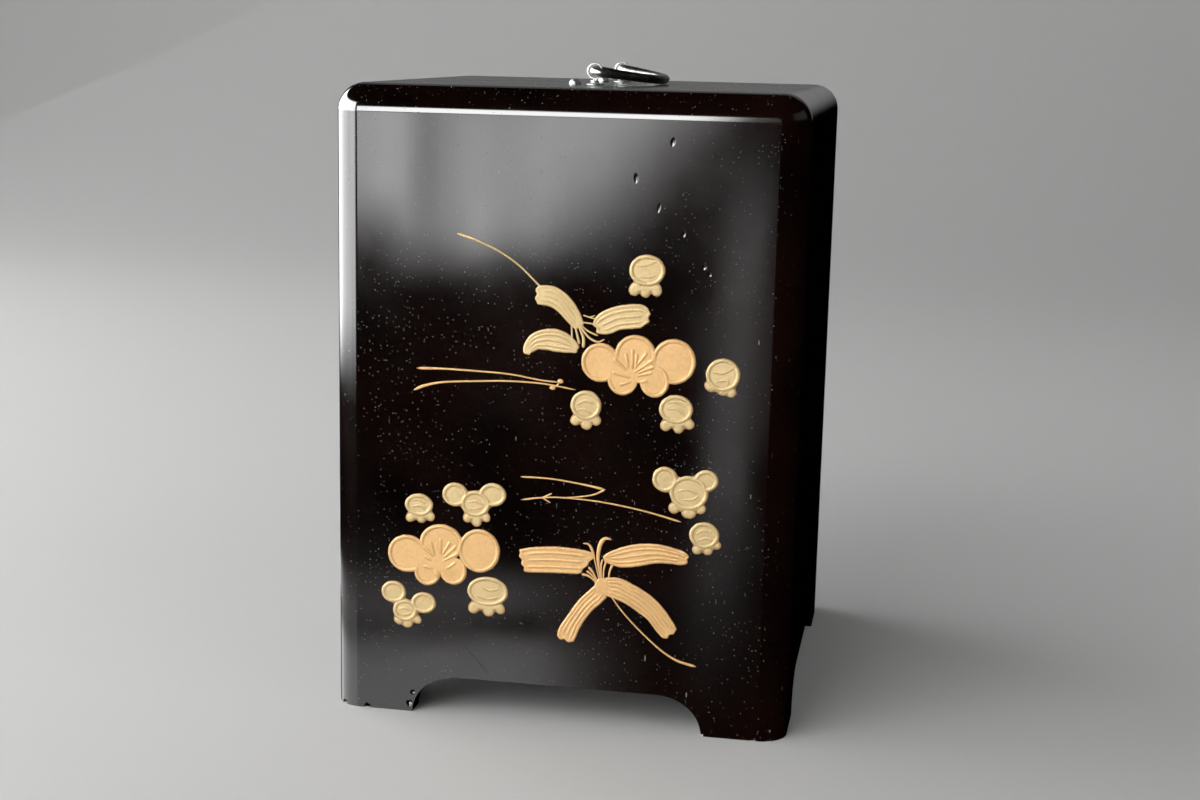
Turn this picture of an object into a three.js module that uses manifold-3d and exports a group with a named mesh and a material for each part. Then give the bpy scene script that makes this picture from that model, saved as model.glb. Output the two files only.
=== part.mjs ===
// A lacquered wooden box with a drop handle, bracket feet and raised gold flowers.
// Millimetres, +Z up. The origin is on the floor, at the middle of the plan.
// The flowered face looks along -Y. The lift-out panel closes the -X side.
import * as THREE from 'three';
import { mergeVertices } from 'three/addons/utils/BufferGeometryUtils.js';
import { RoundedBoxGeometry } from 'three/addons/geometries/RoundedBoxGeometry.js';
import Module from 'manifold-3d';

const wasm = await Module();
wasm.setup();

// Box
const width = 176;
const depth = 176;
const height = 240;
const wall = 9;
const edgeRadius = 10.5;
const topThickness = 9;
const bottomThickness = 8;
const plinthHeight = 24;

// Bracket feet and the arches between them
const footLength = 31.7;
const archHeight = 15;
const archCorner = 17.5;

// Lift-out panel and its frame
const jambWidth = 20;
const sillHeight = 8;
const headHeight = 9;
const panelThickness = 4;
const panelClearance = 0.3;
const sillGroove = 4;
const headGroove = 8.5;
const headHold = 4;
const notchWidth = 30;
const notchHeight = 11;
const notchDepth = 1.6;
const notchDrop = 22;

// Drop handle
const eyeSpan = 62;
const pivotHeight = 5.2;
const bailReach = 22.7;
const bailRadius = 1.75;
const hookRadius = 2.1;
const hookBend = 3;
const tipRadius = 1.05;
const tipLength = 2.6;
const restGap = 0.3;

// Eyelets, cups and nails
const ringRadius = 2.9;
const wireRadius = 0.4;
const shankRadius = 0.75;
const shankHole = 1.05;
const legLength = 12;
const legWidth = 1.4;
const legThickness = 0.7;
const cupRadius = 3.7;
const cupRim = 1.5;
const cupHeight = 1.7;
const cupLip = 0.4;
const cupWaist = 1;
const nailOffset = 7.9;
const nailRadius = 2.3;
const nailHeight = 2.2;
const pinRadius = 0.5;
const pinLength = 6;
const pinClearance = 0.3;

// Raised gold
const fieldHeight = 0.35;
const rimHeight = 0.6;
const rimWidth = 1.5;
const strokeWidth = 0.7;
const stamenStart = 1;
const stamenLength = 6;
const stamenCount = 7;
const stamenFan = 120;
const sepalOverlap = 0.8;
const gridCount = 176;
const bladeSteps = 9;
const ovalSides = 14;
const lobeSides = 7;

const front = -depth / 2;
const side = -width / 2;
const bottomLevel = plinthHeight + bottomThickness;
const sillLevel = bottomLevel + sillHeight;
const headLevel = height - topThickness - headHeight;
const cutMargin = 5;

const lacquer = { color: 0x120806, roughness: 0.12, metalness: 0 };
const patina = { color: 0x6f746f, roughness: 0.35, metalness: 1 };
const gold = { color: 0xd9a860, roughness: 0.4, metalness: 0.8 };
const paleGold = { color: 0xd2b278, roughness: 0.4, metalness: 0.8 };

// Solids

// Turns a closed geometry into a solid with shared corners.
function solid(geometry) {
  const shell = geometry.clone();
  shell.deleteAttribute('normal');
  shell.deleteAttribute('uv');
  const merged = mergeVertices(shell, 1e-4);
  const index = merged.index.array;
  const triangles = [];
  for (let i = 0; i < index.length; i += 3) {
    const [a, b, c] = [index[i], index[i + 1], index[i + 2]];
    if (a !== b && b !== c && c !== a) triangles.push(a, b, c);
  }
  return new wasm.Manifold(new wasm.Mesh({
    numProp: 3,
    vertProperties: new Float32Array(merged.attributes.position.array),
    triVerts: new Uint32Array(triangles),
  }));
}

function block(x0, x1, y0, y1, z0, z1) {
  const geometry = new THREE.BoxGeometry(x1 - x0, y1 - y0, z1 - z0);
  geometry.translate((x0 + x1) / 2, (y0 + y1) / 2, (z0 + z1) / 2);
  return solid(geometry);
}

function post(radius, x, y, z0, z1, sides = 16) {
  const geometry = new THREE.CylinderGeometry(radius, radius, z1 - z0, sides);
  geometry.rotateX(Math.PI / 2);
  geometry.translate(x, y, (z0 + z1) / 2);
  return solid(geometry);
}

function turned(profile, sides = 16) {
  const points = profile.map(([r, z]) => new THREE.Vector2(r, z));
  const geometry = new THREE.LatheGeometry(points, sides);
  geometry.rotateX(Math.PI / 2);
  return solid(geometry);
}

function join(solids) {
  return solids.reduce((whole, next) => whole.add(next));
}

function cut(whole, tools) {
  return tools.reduce((rest, tool) => rest.subtract(tool), whole);
}

const model = new THREE.Group();

function addMesh(name, body, finish, group = model) {
  const faces = body.getMesh();
  const geometry = new THREE.BufferGeometry();
  geometry.setAttribute('position', new THREE.BufferAttribute(faces.vertProperties, 3));
  geometry.setIndex(new THREE.BufferAttribute(faces.triVerts, 1));
  geometry.computeVertexNormals();
  const mesh = new THREE.Mesh(geometry, new THREE.MeshStandardMaterial(finish));
  mesh.name = name;
  group.add(mesh);
  return mesh;
}

// Carcass: one hollow lacquered case with its feet

// The rounded outside, cut off flat at the foot bottoms.
function outside() {
  const buried = 2 * edgeRadius;
  const geometry = new RoundedBoxGeometry(width, depth, height + buried, 4, edgeRadius);
  geometry.translate(0, 0, (height - buried) / 2);
  const below = block(-width, width, -depth, depth, -2 * buried, 0);
  return cut(solid(geometry), [below]);
}

// The opening between two feet of one side, run through the whole case along Y.
function archTunnel(span, run) {
  const half = span / 2 - footLength;
  const shape = new THREE.Shape();
  shape.moveTo(-half, -cutMargin);
  shape.lineTo(-half, 0);
  shape.absellipse(-half + archCorner, 0, archCorner, archHeight, Math.PI, Math.PI / 2, true);
  shape.lineTo(half - archCorner, archHeight);
  shape.absellipse(half - archCorner, 0, archCorner, archHeight, Math.PI / 2, 0, true);
  shape.lineTo(half, -cutMargin);
  const geometry = new THREE.ExtrudeGeometry(shape, {
    depth: run + 2 * cutMargin,
    bevelEnabled: false,
    curveSegments: 8,
  });
  geometry.rotateX(Math.PI / 2);
  geometry.translate(0, run / 2 + cutMargin, 0);
  return geometry;
}

const openHalf = depth / 2 - jambWidth;
const grooveMiddle = side + wall / 2;
const grooveHalf = panelThickness / 2 + panelClearance;
const eyePlaces = [-eyeSpan / 2, eyeSpan / 2];
const underTop = height - topThickness;
const pinHole = pinRadius + pinClearance;

function carcass() {
  const cavity = block(side + wall, -side - wall, front + wall, -front - wall, bottomLevel, underTop);
  const plinth = block(side + wall, -side - wall, front + wall, -front - wall, -cutMargin, plinthHeight);
  const doorway = block(
    side - cutMargin, side + wall + cutMargin, -openHalf, openHalf, sillLevel, headLevel,
  );
  const grooves = block(
    grooveMiddle - grooveHalf, grooveMiddle + grooveHalf, -openHalf, openHalf,
    sillLevel - sillGroove, headLevel + headGroove,
  );
  const holes = eyePlaces.flatMap((y) => [
    post(shankHole, 0, y, underTop - cutMargin, height + cutMargin, 9),
    post(pinHole, -nailOffset, y, height - pinLength - pinClearance, height + cutMargin, 8),
  ]);
  const across = archTunnel(width, depth);
  const along = archTunnel(depth, width).rotateZ(Math.PI / 2);
  return cut(outside(), [cavity, plinth, doorway, grooves, ...holes, solid(across), solid(along)]);
}

// Lift-out panel: a plate held by grooves in the sill and the head, with a scooped finger notch

function liftPanel() {
  const halfWidth = openHalf - panelClearance;
  const top = headLevel + headHold;
  const plate = block(
    grooveMiddle - panelThickness / 2, grooveMiddle + panelThickness / 2,
    -halfWidth, halfWidth, sillLevel - sillGroove, top,
  );
  const scoop = new THREE.SphereGeometry(1, 20, 10);
  scoop.scale(notchDepth, notchWidth / 2, notchHeight / 2);
  scoop.translate(grooveMiddle - panelThickness / 2, 0, headLevel - notchDrop);
  return cut(plate, [solid(scoop)]);
}

addMesh('carcass', carcass(), lacquer);
addMesh('lift_panel', liftPanel(), lacquer);

// Eyelets, cups and nails on the top board

function eyelet() {
  const ring = new THREE.TorusGeometry(ringRadius, wireRadius, 7, 18);
  ring.rotateX(Math.PI / 2);
  ring.translate(0, 0, height + pivotHeight);
  const ringFoot = height + pivotHeight - ringRadius;
  const legs = block(
    -legLength / 2, legLength / 2, -legWidth / 2, legWidth / 2, underTop - legThickness, underTop,
  );
  return join([solid(ring), post(shankRadius, 0, 0, underTop - legThickness, ringFoot, 10), legs]);
}

function cup() {
  return turned([
    [shankHole, 0],
    [cupRadius, 0],
    [cupRadius, cupLip],
    [cupRim, cupWaist],
    [cupRim, cupHeight],
    [shankHole, cupHeight],
    [shankHole, 0],
  ]);
}

function nail() {
  const steps = 5;
  const dome = [[0, 0], [nailRadius, 0]];
  for (let i = 1; i <= steps; i += 1) {
    const turn = (i / steps) * (Math.PI / 2);
    const radius = i < steps ? nailRadius * Math.cos(turn) : 0;
    dome.push([radius, nailHeight * Math.sin(turn)]);
  }
  return join([turned(dome), post(pinRadius, 0, 0, -pinLength, nailHeight / 2, 8)]);
}

const ends = ['front', 'back'];
eyePlaces.forEach((y, i) => {
  addMesh(`eyelet_${ends[i]}`, eyelet(), patina).position.set(0, y, 0);
  addMesh(`cup_${ends[i]}`, cup(), patina).position.set(0, y, height);
  addMesh(`nail_${ends[i]}`, nail(), patina).position.set(-nailOffset, y, height);
});

// Drop handle: a bow that ends in two hooks through the eyelets

// A closed round bar along a curve, with its radius given at each share of its length.
function roundBar(curve, radiusAt, steps, sides) {
  const frames = curve.computeFrenetFrames(steps, false);
  const vertices = [];
  for (let i = 0; i <= steps; i += 1) {
    const centre = curve.getPointAt(i / steps);
    const radius = radiusAt(i / steps);
    for (let j = 0; j < sides; j += 1) {
      const turn = (j / sides) * 2 * Math.PI;
      const point = centre.clone();
      point.addScaledVector(frames.normals[i], radius * Math.cos(turn));
      point.addScaledVector(frames.binormals[i], radius * Math.sin(turn));
      vertices.push(point);
    }
  }
  vertices.push(curve.getPointAt(0), curve.getPointAt(1));
  const indices = [];
  for (let i = 0; i < steps; i += 1) {
    for (let j = 0; j < sides; j += 1) {
      const a = i * sides + j;
      const b = i * sides + ((j + 1) % sides);
      indices.push(a, b, a + sides, b, b + sides, a + sides);
    }
  }
  const startPole = vertices.length - 2;
  const endPole = vertices.length - 1;
  const lastRing = steps * sides;
  for (let j = 0; j < sides; j += 1) {
    const next = (j + 1) % sides;
    indices.push(startPole, next, j);
    indices.push(endPole, lastRing + j, lastRing + next);
  }
  const geometry = new THREE.BufferGeometry().setFromPoints(vertices);
  geometry.setIndex(indices);
  return solid(geometry);
}

// The handle's centre line in its own plane: x away from the pivot line, y along it.
function bailLine() {
  const half = [];
  const eye = -eyeSpan / 2;
  const straight = 2;
  for (let i = 0; i <= straight; i += 1) {
    const reach = hookBend + tipLength * (1 - i / straight);
    half.push(new THREE.Vector3(reach, eye - hookBend, 0));
  }
  const bendSteps = 6;
  for (let i = 1; i <= bendSteps; i += 1) {
    const turn = (i / bendSteps) * Math.PI;
    half.push(new THREE.Vector3(hookBend * (1 - Math.sin(turn)), eye - hookBend * Math.cos(turn), 0));
  }
  const bowSteps = 7;
  const bowHalf = eyeSpan / 2 - hookBend;
  for (let i = 1; i < bowSteps; i += 1) {
    const turn = (i / bowSteps) * (Math.PI / 2);
    const reach = hookBend + (bailReach - hookBend) * Math.sin(turn);
    half.push(new THREE.Vector3(reach, -bowHalf * Math.cos(turn), 0));
  }
  const middle = new THREE.Vector3(bailReach, 0, 0);
  const other = half.map((p) => new THREE.Vector3(p.x, -p.y, p.z)).reverse();
  return new THREE.CatmullRomCurve3([...half, middle, ...other], false, 'centripetal');
}

function bail() {
  const line = bailLine();
  const total = line.getLength();
  const toEye = tipLength + (hookBend * Math.PI) / 2;
  const radiusAt = (share) => {
    const fromEnd = Math.min(share, 1 - share) * total;
    if (fromEnd < toEye) return THREE.MathUtils.lerp(tipRadius, hookRadius, fromEnd / toEye);
    return THREE.MathUtils.lerp(hookRadius, bailRadius, Math.min(1, fromEnd / toEye - 1));
  };
  return roundBar(line, radiusAt, 48, 8);
}

// The handle lies over to +X until its bow almost meets the top board.
const bailDrop = Math.asin((pivotHeight - bailRadius - restGap) / bailReach);
const pivot = new THREE.Group();
pivot.position.set(0, 0, height + pivotHeight);
pivot.rotation.y = bailDrop;
model.add(pivot);
addMesh('bail', bail(), patina, pivot);

// Raised gold on the front face. It is drawn as x and z, with gridCount units to the box's width.

// Raises a drawn outline from the face to a height.
function raised(shape, top, from = 0) {
  const geometry = new THREE.ExtrudeGeometry(shape, { depth: top - from, bevelEnabled: false });
  geometry.translate(0, 0, from);
  return solid(geometry);
}

// An oval with its first radius turned up by the tilt.
function oval(x, z, rx, rz, sides = ovalSides, tilt = 0) {
  const points = [];
  for (let i = 0; i < sides; i += 1) {
    const turn = ((i + 0.5) / sides) * 2 * Math.PI;
    const point = new THREE.Vector2(rx * Math.cos(turn), rz * Math.sin(turn));
    point.rotateAround(new THREE.Vector2(), tilt);
    points.push(new THREE.Vector2(x + point.x, z + point.y));
  }
  return new THREE.Shape(points);
}

// A band along a centre line whose width swells and tapers along it.
function band(points, widths, top, steps) {
  const line = new THREE.SplineCurve(points.map(([x, z]) => new THREE.Vector2(x, z)));
  const swell = new THREE.SplineCurve(widths.map((width, i) => new THREE.Vector2(i, width)));
  const left = [];
  const right = [];
  for (let i = 0; i <= steps; i += 1) {
    const share = i / steps;
    const half = swell.getPoint(share).y / 2;
    const centre = line.getPoint(share);
    const along = line.getTangent(share);
    left.push(new THREE.Vector2(centre.x - along.y * half, centre.y + along.x * half));
    right.unshift(new THREE.Vector2(centre.x + along.y * half, centre.y - along.x * half));
  }
  return raised(new THREE.Shape([...left, ...right]), top);
}

function stroke(points, steps = points.length + 1) {
  return band(points, [strokeWidth, strokeWidth], fieldHeight, steps);
}

function blade(spine, widths) {
  return band(spine, widths, fieldHeight, bladeSteps);
}

// A round petal keeps a raised rim round a lower field.
function petal([x, z, rx, rz]) {
  const field = oval(x, z, rx - rimWidth, rz - rimWidth);
  return cut(raised(oval(x, z, rx, rz), rimHeight), [raised(field, 2 * rimHeight, fieldHeight)]);
}

// Each petal lies over the ones before it.
function overlaid(petals) {
  return petals.slice(1).reduce((whole, next) => {
    const [x, z, rx, rz] = next;
    return cut(whole, [raised(oval(x, z, rx, rz), 2 * rimHeight)]).add(petal(next));
  }, petal(petals[0]));
}

function blossom([heartX, heartZ], petals) {
  const stamens = [];
  for (let i = 0; i < stamenCount; i += 1) {
    const turn = THREE.MathUtils.degToRad(90 + stamenFan * (i / (stamenCount - 1) - 0.5));
    const points = [stamenStart, stamenLength].map((reach) => [
      heartX + reach * Math.cos(turn),
      heartZ + reach * Math.sin(turn),
    ]);
    stamens.push(band(points, [strokeWidth, strokeWidth], rimHeight, 1));
  }
  return join([overlaid(petals), ...stamens]);
}

// A sepal runs from under the edge of the flower's head out to its tip.
function sepal([x, z, rx, rz], [tipX, tipZ, half]) {
  const reach = Math.hypot(tipX - x, tipZ - z);
  const [outX, outZ] = [(tipX - x) / reach, (tipZ - z) / reach];
  const start = 1 / Math.hypot(outX / rx, outZ / rz) - sepalOverlap;
  const middle = (start + reach) / 2;
  const tilt = Math.atan2(outZ, outX);
  const lobe = oval(x + outX * middle, z + outZ * middle, (reach - start) / 2, half, lobeSides, tilt);
  return raised(lobe, fieldHeight);
}

// A bud or a half-open flower: its petals, with the head last and on top, and three sepals.
function flower(petals, sepals) {
  const head = petals[petals.length - 1];
  return join([...sepals.map((tip) => sepal(head, tip)), overlaid(petals)]);
}

const face = new THREE.Group();
face.position.set(0, front, 0);
face.rotation.x = Math.PI / 2;
face.scale.set(width / gridCount, width / gridCount, 1);
model.add(face);

// Open flowers with five petals
addMesh('gold_blossom_upper', blossom([26.8, 137.8], [
  [14.9, 141.1, 7.2, 7.3],
  [42, 142.8, 8.1, 8.4],
  [23.2, 135.3, 5.6, 6],
  [35.1, 135.1, 5.5, 6],
  [27.8, 144.6, 7.6, 7.4],
]), gold, face);
addMesh('gold_blossom_lower', blossom([-46.3, 61], [
  [-58.3, 63.3, 7.7, 7.4],
  [-30.2, 66.3, 8.1, 8.5],
  [-50.4, 56.6, 5.2, 5.4],
  [-40.2, 57.6, 5.3, 5.4],
  [-45, 68.3, 8.4, 7.4],
]), gold, face);

// Buds
addMesh('gold_bud_upper_top', flower(
  [[31.3, 175.7, 6.6, 5.8]],
  [[25.6, 166.5, 2.2], [30.7, 165.8, 2.1], [35.8, 166.6, 2.1]],
), paleGold, face);
addMesh('gold_bud_upper_right', flower(
  [[60.1, 138.9, 6.3, 6.1]],
  [[54.2, 133.2, 2.2], [60.6, 131.3, 2], [64.1, 130.9, 1.9]],
), paleGold, face);
addMesh('gold_bud_upper_left', flower(
  [[9.8, 124.8, 5.8, 5.6]],
  [[4.8, 117.3, 1.9], [10.2, 115.6, 2.2], [14.8, 117.7, 1.9]],
), paleGold, face);
addMesh('gold_bud_upper_middle', flower(
  [[43.3, 125.2, 6.3, 5.4]],
  [[38.6, 117.1, 2.1], [44.7, 116.3, 2], [49.6, 118.4, 1.9]],
), paleGold, face);
addMesh('gold_bud_lower_left', flower(
  [[-53.8, 82.7, 5.5, 4.4]],
  [[-58.2, 76, 1.8], [-52.6, 75.7, 1.7], [-48.1, 77.1, 1.8]],
), paleGold, face);
addMesh('gold_bud_lower_middle', flower(
  [[-26.7, 50.6, 8, 5.8]],
  [[-33.6, 41.9, 2.2], [-26.2, 40.7, 2.3], [-20.6, 42.3, 2]],
), paleGold, face);
addMesh('gold_bud_lower_right', flower(
  [[55.2, 78.4, 5.6, 5.1]],
  [[51.9, 71.1, 1.8], [57.1, 71, 1.8], [61.3, 74, 1.5]],
), paleGold, face);

// Half-open flowers: two petals spread above a round head
addMesh('gold_half_flower_left', flower(
  [[-63.7, 47.7, 4.9, 4.4], [-51.8, 44.2, 4.9, 4.2], [-59.1, 40.7, 4.9, 4.4]],
  [[-62.6, 35.1, 2], [-57.9, 33.7, 2.1], [-52.9, 36.2, 1.6]],
), paleGold, face);
addMesh('gold_half_flower_middle', flower(
  [[-39.7, 87.7, 5, 4.6], [-25.1, 88.5, 5.2, 4.5], [-31.8, 84.6, 5.7, 5.1]],
  [[-35.7, 77.3, 1.8], [-31.1, 75.6, 2], [-26.6, 78, 1.7]],
), paleGold, face);
addMesh('gold_half_flower_right', flower(
  [[40, 98.7, 4.8, 4.8], [55.3, 99.1, 4.5, 4.1], [49, 94.1, 7.2, 6.5]],
  [[42.2, 86.5, 2.1], [49.3, 84.4, 2.7], [54.7, 86.9, 2]],
), paleGold, face);

// Upper spray: three blades round one root, with hair-fine stalks and a long stem
addMesh('gold_spray_upper', join([
  blade(
    [[6.8, 153.9], [3.9, 158.2], [0.4, 162.2], [-4, 165.1], [-7.7, 165.8], [-10, 164]],
    [4.3, 6.3, 7.1, 8, 5.7, 2.8],
  ),
  blade(
    [
      [6.5, 145.1], [3.5, 146.8], [-0.8, 148.2], [-5.4, 148.6],
      [-9.7, 147.5], [-12.3, 144.5], [-12.6, 142.4],
    ],
    [2.6, 6, 8.3, 8, 6.3, 4, 2],
  ),
  blade(
    [[12.6, 153.8], [16.2, 155.6], [20.6, 157.7], [25.7, 158.6], [29.7, 159], [32.6, 158.7]],
    [5.2, 8.5, 8.8, 9.1, 8.5, 4.6],
  ),
  stroke([[-39.7, 186.4], [-31.4, 183.8], [-22.7, 179.8], [-15.5, 175], [-6.4, 166.4]]),
  stroke([[8, 158.3], [11.9, 157.3], [14, 157.1]]),
  stroke([[7.4, 155.7], [13.8, 155.1]], 1),
  stroke([[7, 154.9], [10, 152.5], [13.8, 151]], 4),
  stroke([[6.6, 154.8], [10, 150.5], [13.5, 148.7], [16.3, 149.8]]),
  stroke([[3.7, 155.6], [4, 151.4], [4, 148.6]], 4),
  stroke([[5, 154.8], [6, 150.9], [6.9, 147.5]], 4),
  stroke([[6.3, 154.6], [8.3, 149.9], [8.3, 146.2]], 4),
]), gold, face);

// Lower spray: four blades round one root, with curled stalks and a long stem
addMesh('gold_spray_lower', join([
  blade(
    [[13.9, 66.9], [10.9, 65.2], [5, 65], [-2, 64.8], [-8.4, 63.9], [-12.8, 63.5], [-14.2, 64.1]],
    [3.7, 7.8, 9.7, 9.4, 9.1, 7.3, 3.4],
  ),
  blade(
    [
      [17.4, 66.6], [20.2, 67.1], [24.2, 67.6], [30, 68.9],
      [36.9, 70.1], [42.7, 69.8], [47.2, 69.1], [49.6, 68.8],
    ],
    [2.1, 5, 7.6, 8.6, 7.6, 6.5, 5.5, 3.4],
  ),
  blade(
    [[17.6, 54.6], [14.4, 51.4], [11.5, 48.4], [8.7, 44.5], [6, 40], [4.4, 36.5], [3.5, 33.6]],
    [6.3, 6.7, 6.6, 6.5, 6.8, 7.6, 6],
  ),
  blade(
    [[17.8, 55.9], [22.9, 55.6], [28.3, 53.5], [33.2, 50.6], [37.5, 47.2], [40.8, 43], [43.9, 39]],
    [6.8, 8.4, 8.2, 8.4, 7.8, 7.6, 6],
  ),
  stroke([[20.4, 53], [25.3, 46.7], [30.7, 41.1], [36.2, 36.1], [41.7, 31.8], [47.1, 29], [53.8, 27.4]]),
  stroke([[17, 57.5], [15.9, 63.5], [15.6, 67.9], [16.4, 72.3], [18.2, 74.6], [20.6, 74.3]], 9),
  stroke([[16.4, 57.5], [14.7, 64.5], [13.5, 69.3], [11.9, 71.9], [9.7, 72.1]], 8),
  stroke([[16, 57], [13.7, 61.2], [12, 63.2]], 3),
  stroke([[15.6, 56.6], [12.6, 59.4], [9.4, 60.8]], 3),
  stroke([[17.8, 58], [17.9, 62.6], [18.9, 66.4]], 3),
  stroke([[19.7, 58.6], [20.2, 62.2], [21.2, 64.8]], 3),
]), gold, face);

// Fine stems
addMesh('gold_stem_upper', join([
  stroke([[-54.8, 135.3], [-31.7, 135.4], [-13.3, 134.2], [-0.4, 132.9]], 8),
  raised(oval(0, 133.2, 1, 1, lobeSides), fieldHeight),
]), gold, face);
addMesh('gold_stem_lower', join([
  stroke([[-55.9, 126.9], [-43.9, 130.6], [-19.1, 132.3], [-6.3, 132], [5.8, 130.4]], 9),
  raised(oval(-2.8, 130.8, 1, 0.8, lobeSides), fieldHeight),
]), gold, face);
addMesh('gold_stem_fork', join([
  stroke([[-14.2, 87.3], [-6.1, 88.7], [1.9, 89.2], [16.3, 88.5], [32.2, 86.2], [46.5, 82.9]], 9),
  stroke([[-14.6, 96.2], [-2.5, 96.1], [10.3, 94.6], [17.8, 93.3]], 4),
  stroke([[17.6, 93.3], [13.6, 91.2], [8.3, 90], [1.4, 89.1]], 5),
  stroke([[-6.4, 88.4], [-2.4, 90.6]], 1),
  stroke([[-6.2, 88.8], [-2.9, 86.9]], 1),
]), gold, face);

export default model;
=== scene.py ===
import math

import bmesh
import bpy
import numpy as np
from mathutils import Euler, Matrix, Vector


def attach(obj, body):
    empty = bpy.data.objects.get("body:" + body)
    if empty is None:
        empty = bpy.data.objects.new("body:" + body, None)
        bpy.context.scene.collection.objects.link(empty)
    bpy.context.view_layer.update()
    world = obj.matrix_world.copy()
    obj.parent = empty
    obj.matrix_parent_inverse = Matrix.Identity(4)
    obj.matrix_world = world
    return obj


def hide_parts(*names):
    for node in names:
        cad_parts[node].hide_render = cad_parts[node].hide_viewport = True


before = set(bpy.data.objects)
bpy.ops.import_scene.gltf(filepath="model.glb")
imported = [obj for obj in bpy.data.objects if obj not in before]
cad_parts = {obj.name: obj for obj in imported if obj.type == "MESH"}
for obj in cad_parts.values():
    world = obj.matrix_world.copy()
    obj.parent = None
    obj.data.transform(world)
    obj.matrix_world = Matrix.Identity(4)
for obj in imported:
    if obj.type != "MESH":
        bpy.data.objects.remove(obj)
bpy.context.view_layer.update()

scene = bpy.context.scene

# Camera. It stands a little right of the box's middle and looks slightly down,
# so that the flowered front, a sliver of the top and the right side show.
mm = 0.001
lens = bpy.data.cameras.new("camera")
lens.sensor_width = 36
lens.lens = 55.04
lens.clip_start = 0.01
lens.clip_end = 40
camera = bpy.data.objects.new("camera", lens)
camera.location = Vector((132.21, -740.07, 256.98)) * mm
camera.rotation_euler = Euler([math.radians(turn) for turn in (78.905, -1.251, 10.437)])
scene.collection.objects.link(camera)
scene.camera = camera
scene.view_settings.view_transform = "Standard"

# Case. Thin boards are joined into a hollow box with a rounded outside, bracket feet and a
# doorway on the left side, all under one skin of black-brown lacquer polished to a mirror.
# It is dented and chipped, and its arch edges are worn.
width, depth, height = 176, 176, 240
wall, edge_radius = 9, 10.5
top_thickness, plinth_height, bottom_thickness = 9, 24, 8
foot_length, arch_height, arch_corner = 31.7, 15, 17.5
jamb_width, sill_height, head_height = 20, 8, 9
panel_thickness, panel_clearance = 4, 0.3
sill_groove, head_groove = 4, 8.5
eye_span, shank_hole = 62, 1.05
nail_offset, pin_hole, pin_depth = 7.9, 0.8, 6.3
margin = 5
front = -depth / 2
side = -width / 2
floor_level = plinth_height + bottom_thickness
sill_level = floor_level + sill_height
head_level = height - top_thickness - head_height
under_top = height - top_thickness
open_half = depth / 2 - jamb_width
groove_middle = side + wall / 2
groove_half = panel_thickness / 2 + panel_clearance


def block(x0, x1, y0, y1, z0, z1):
    """A square block between two corners, in millimetres."""
    bm = bmesh.new()
    cube = bmesh.ops.create_cube(bm, size=1)["verts"]
    bmesh.ops.scale(bm, verts=cube, vec=Vector((x1 - x0, y1 - y0, z1 - z0)))
    bmesh.ops.translate(bm, verts=cube, vec=Vector((x0 + x1, y0 + y1, z0 + z1)) / 2)
    return bm


def rod(radius, x, y, z0, z1, sides=32):
    """An upright round rod."""
    bm = bmesh.new()
    made = bmesh.ops.create_cone(
        bm, cap_ends=True, segments=sides, radius1=radius, radius2=radius, depth=z1 - z0
    )["verts"]
    bmesh.ops.translate(bm, verts=made, vec=Vector((x, y, (z0 + z1) / 2)))
    return bm


def arch_cutter(run):
    """The open space between two feet: a flat roof with an oval corner at each end."""
    half = width / 2 - foot_length
    outline = [(-half, -margin), (half, -margin)]
    for step in range(13):
        turn = math.radians(90 * step / 12)
        outline.append(
            (half - arch_corner + arch_corner * math.cos(turn), arch_height * math.sin(turn))
        )
    for step in range(13):
        turn = math.radians(90 + 90 * step / 12)
        outline.append(
            (-half + arch_corner + arch_corner * math.cos(turn), arch_height * math.sin(turn))
        )
    bm = bmesh.new()
    rim = [bm.verts.new((x, -run / 2 - margin, z)) for x, z in outline]
    mouth = bm.faces.new(rim)
    through = bmesh.ops.extrude_face_region(bm, geom=[mouth])["geom"]
    moved = [v for v in through if isinstance(v, bmesh.types.BMVert)]
    bmesh.ops.translate(bm, verts=moved, vec=Vector((0, run + 2 * margin, 0)))
    bm.faces.ensure_lookup_table()
    bmesh.ops.recalc_face_normals(bm, faces=bm.faces)
    return bm


def settle(bm, name, scale=mm):
    """Turns a worked shape into an object, in metres."""
    bmesh.ops.scale(bm, verts=bm.verts, vec=Vector((scale, scale, scale)))
    mesh = bpy.data.meshes.new(name)
    bm.to_mesh(mesh)
    bm.free()
    piece = bpy.data.objects.new(name, mesh)
    scene.collection.objects.link(piece)
    return piece


def carve(piece, cutters):
    """Cuts each cutter out of the piece, and leaves nothing but the piece."""
    tools = [settle(cutter, "cutter") for cutter in cutters]
    for tool in tools:
        work = piece.modifiers.new("cut", "BOOLEAN")
        work.operation = "DIFFERENCE"
        work.solver = "EXACT"
        work.object = tool
    bpy.context.view_layer.update()
    carved = bpy.data.meshes.new_from_object(
        piece.evaluated_get(bpy.context.evaluated_depsgraph_get())
    )
    piece.modifiers.clear()
    piece.data = carved
    for tool in tools:
        bpy.data.objects.remove(tool)


def smooth(piece, angle=30):
    """Shades the piece smooth, with its true corners kept sharp and its flats flat."""
    piece.data.polygons.foreach_set("use_smooth", [True] * len(piece.data.polygons))
    piece.data.set_sharp_from_angle(angle=math.radians(angle))
    evened = piece.modifiers.new("evened", "WEIGHTED_NORMAL")
    evened.keep_sharp = True


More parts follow.
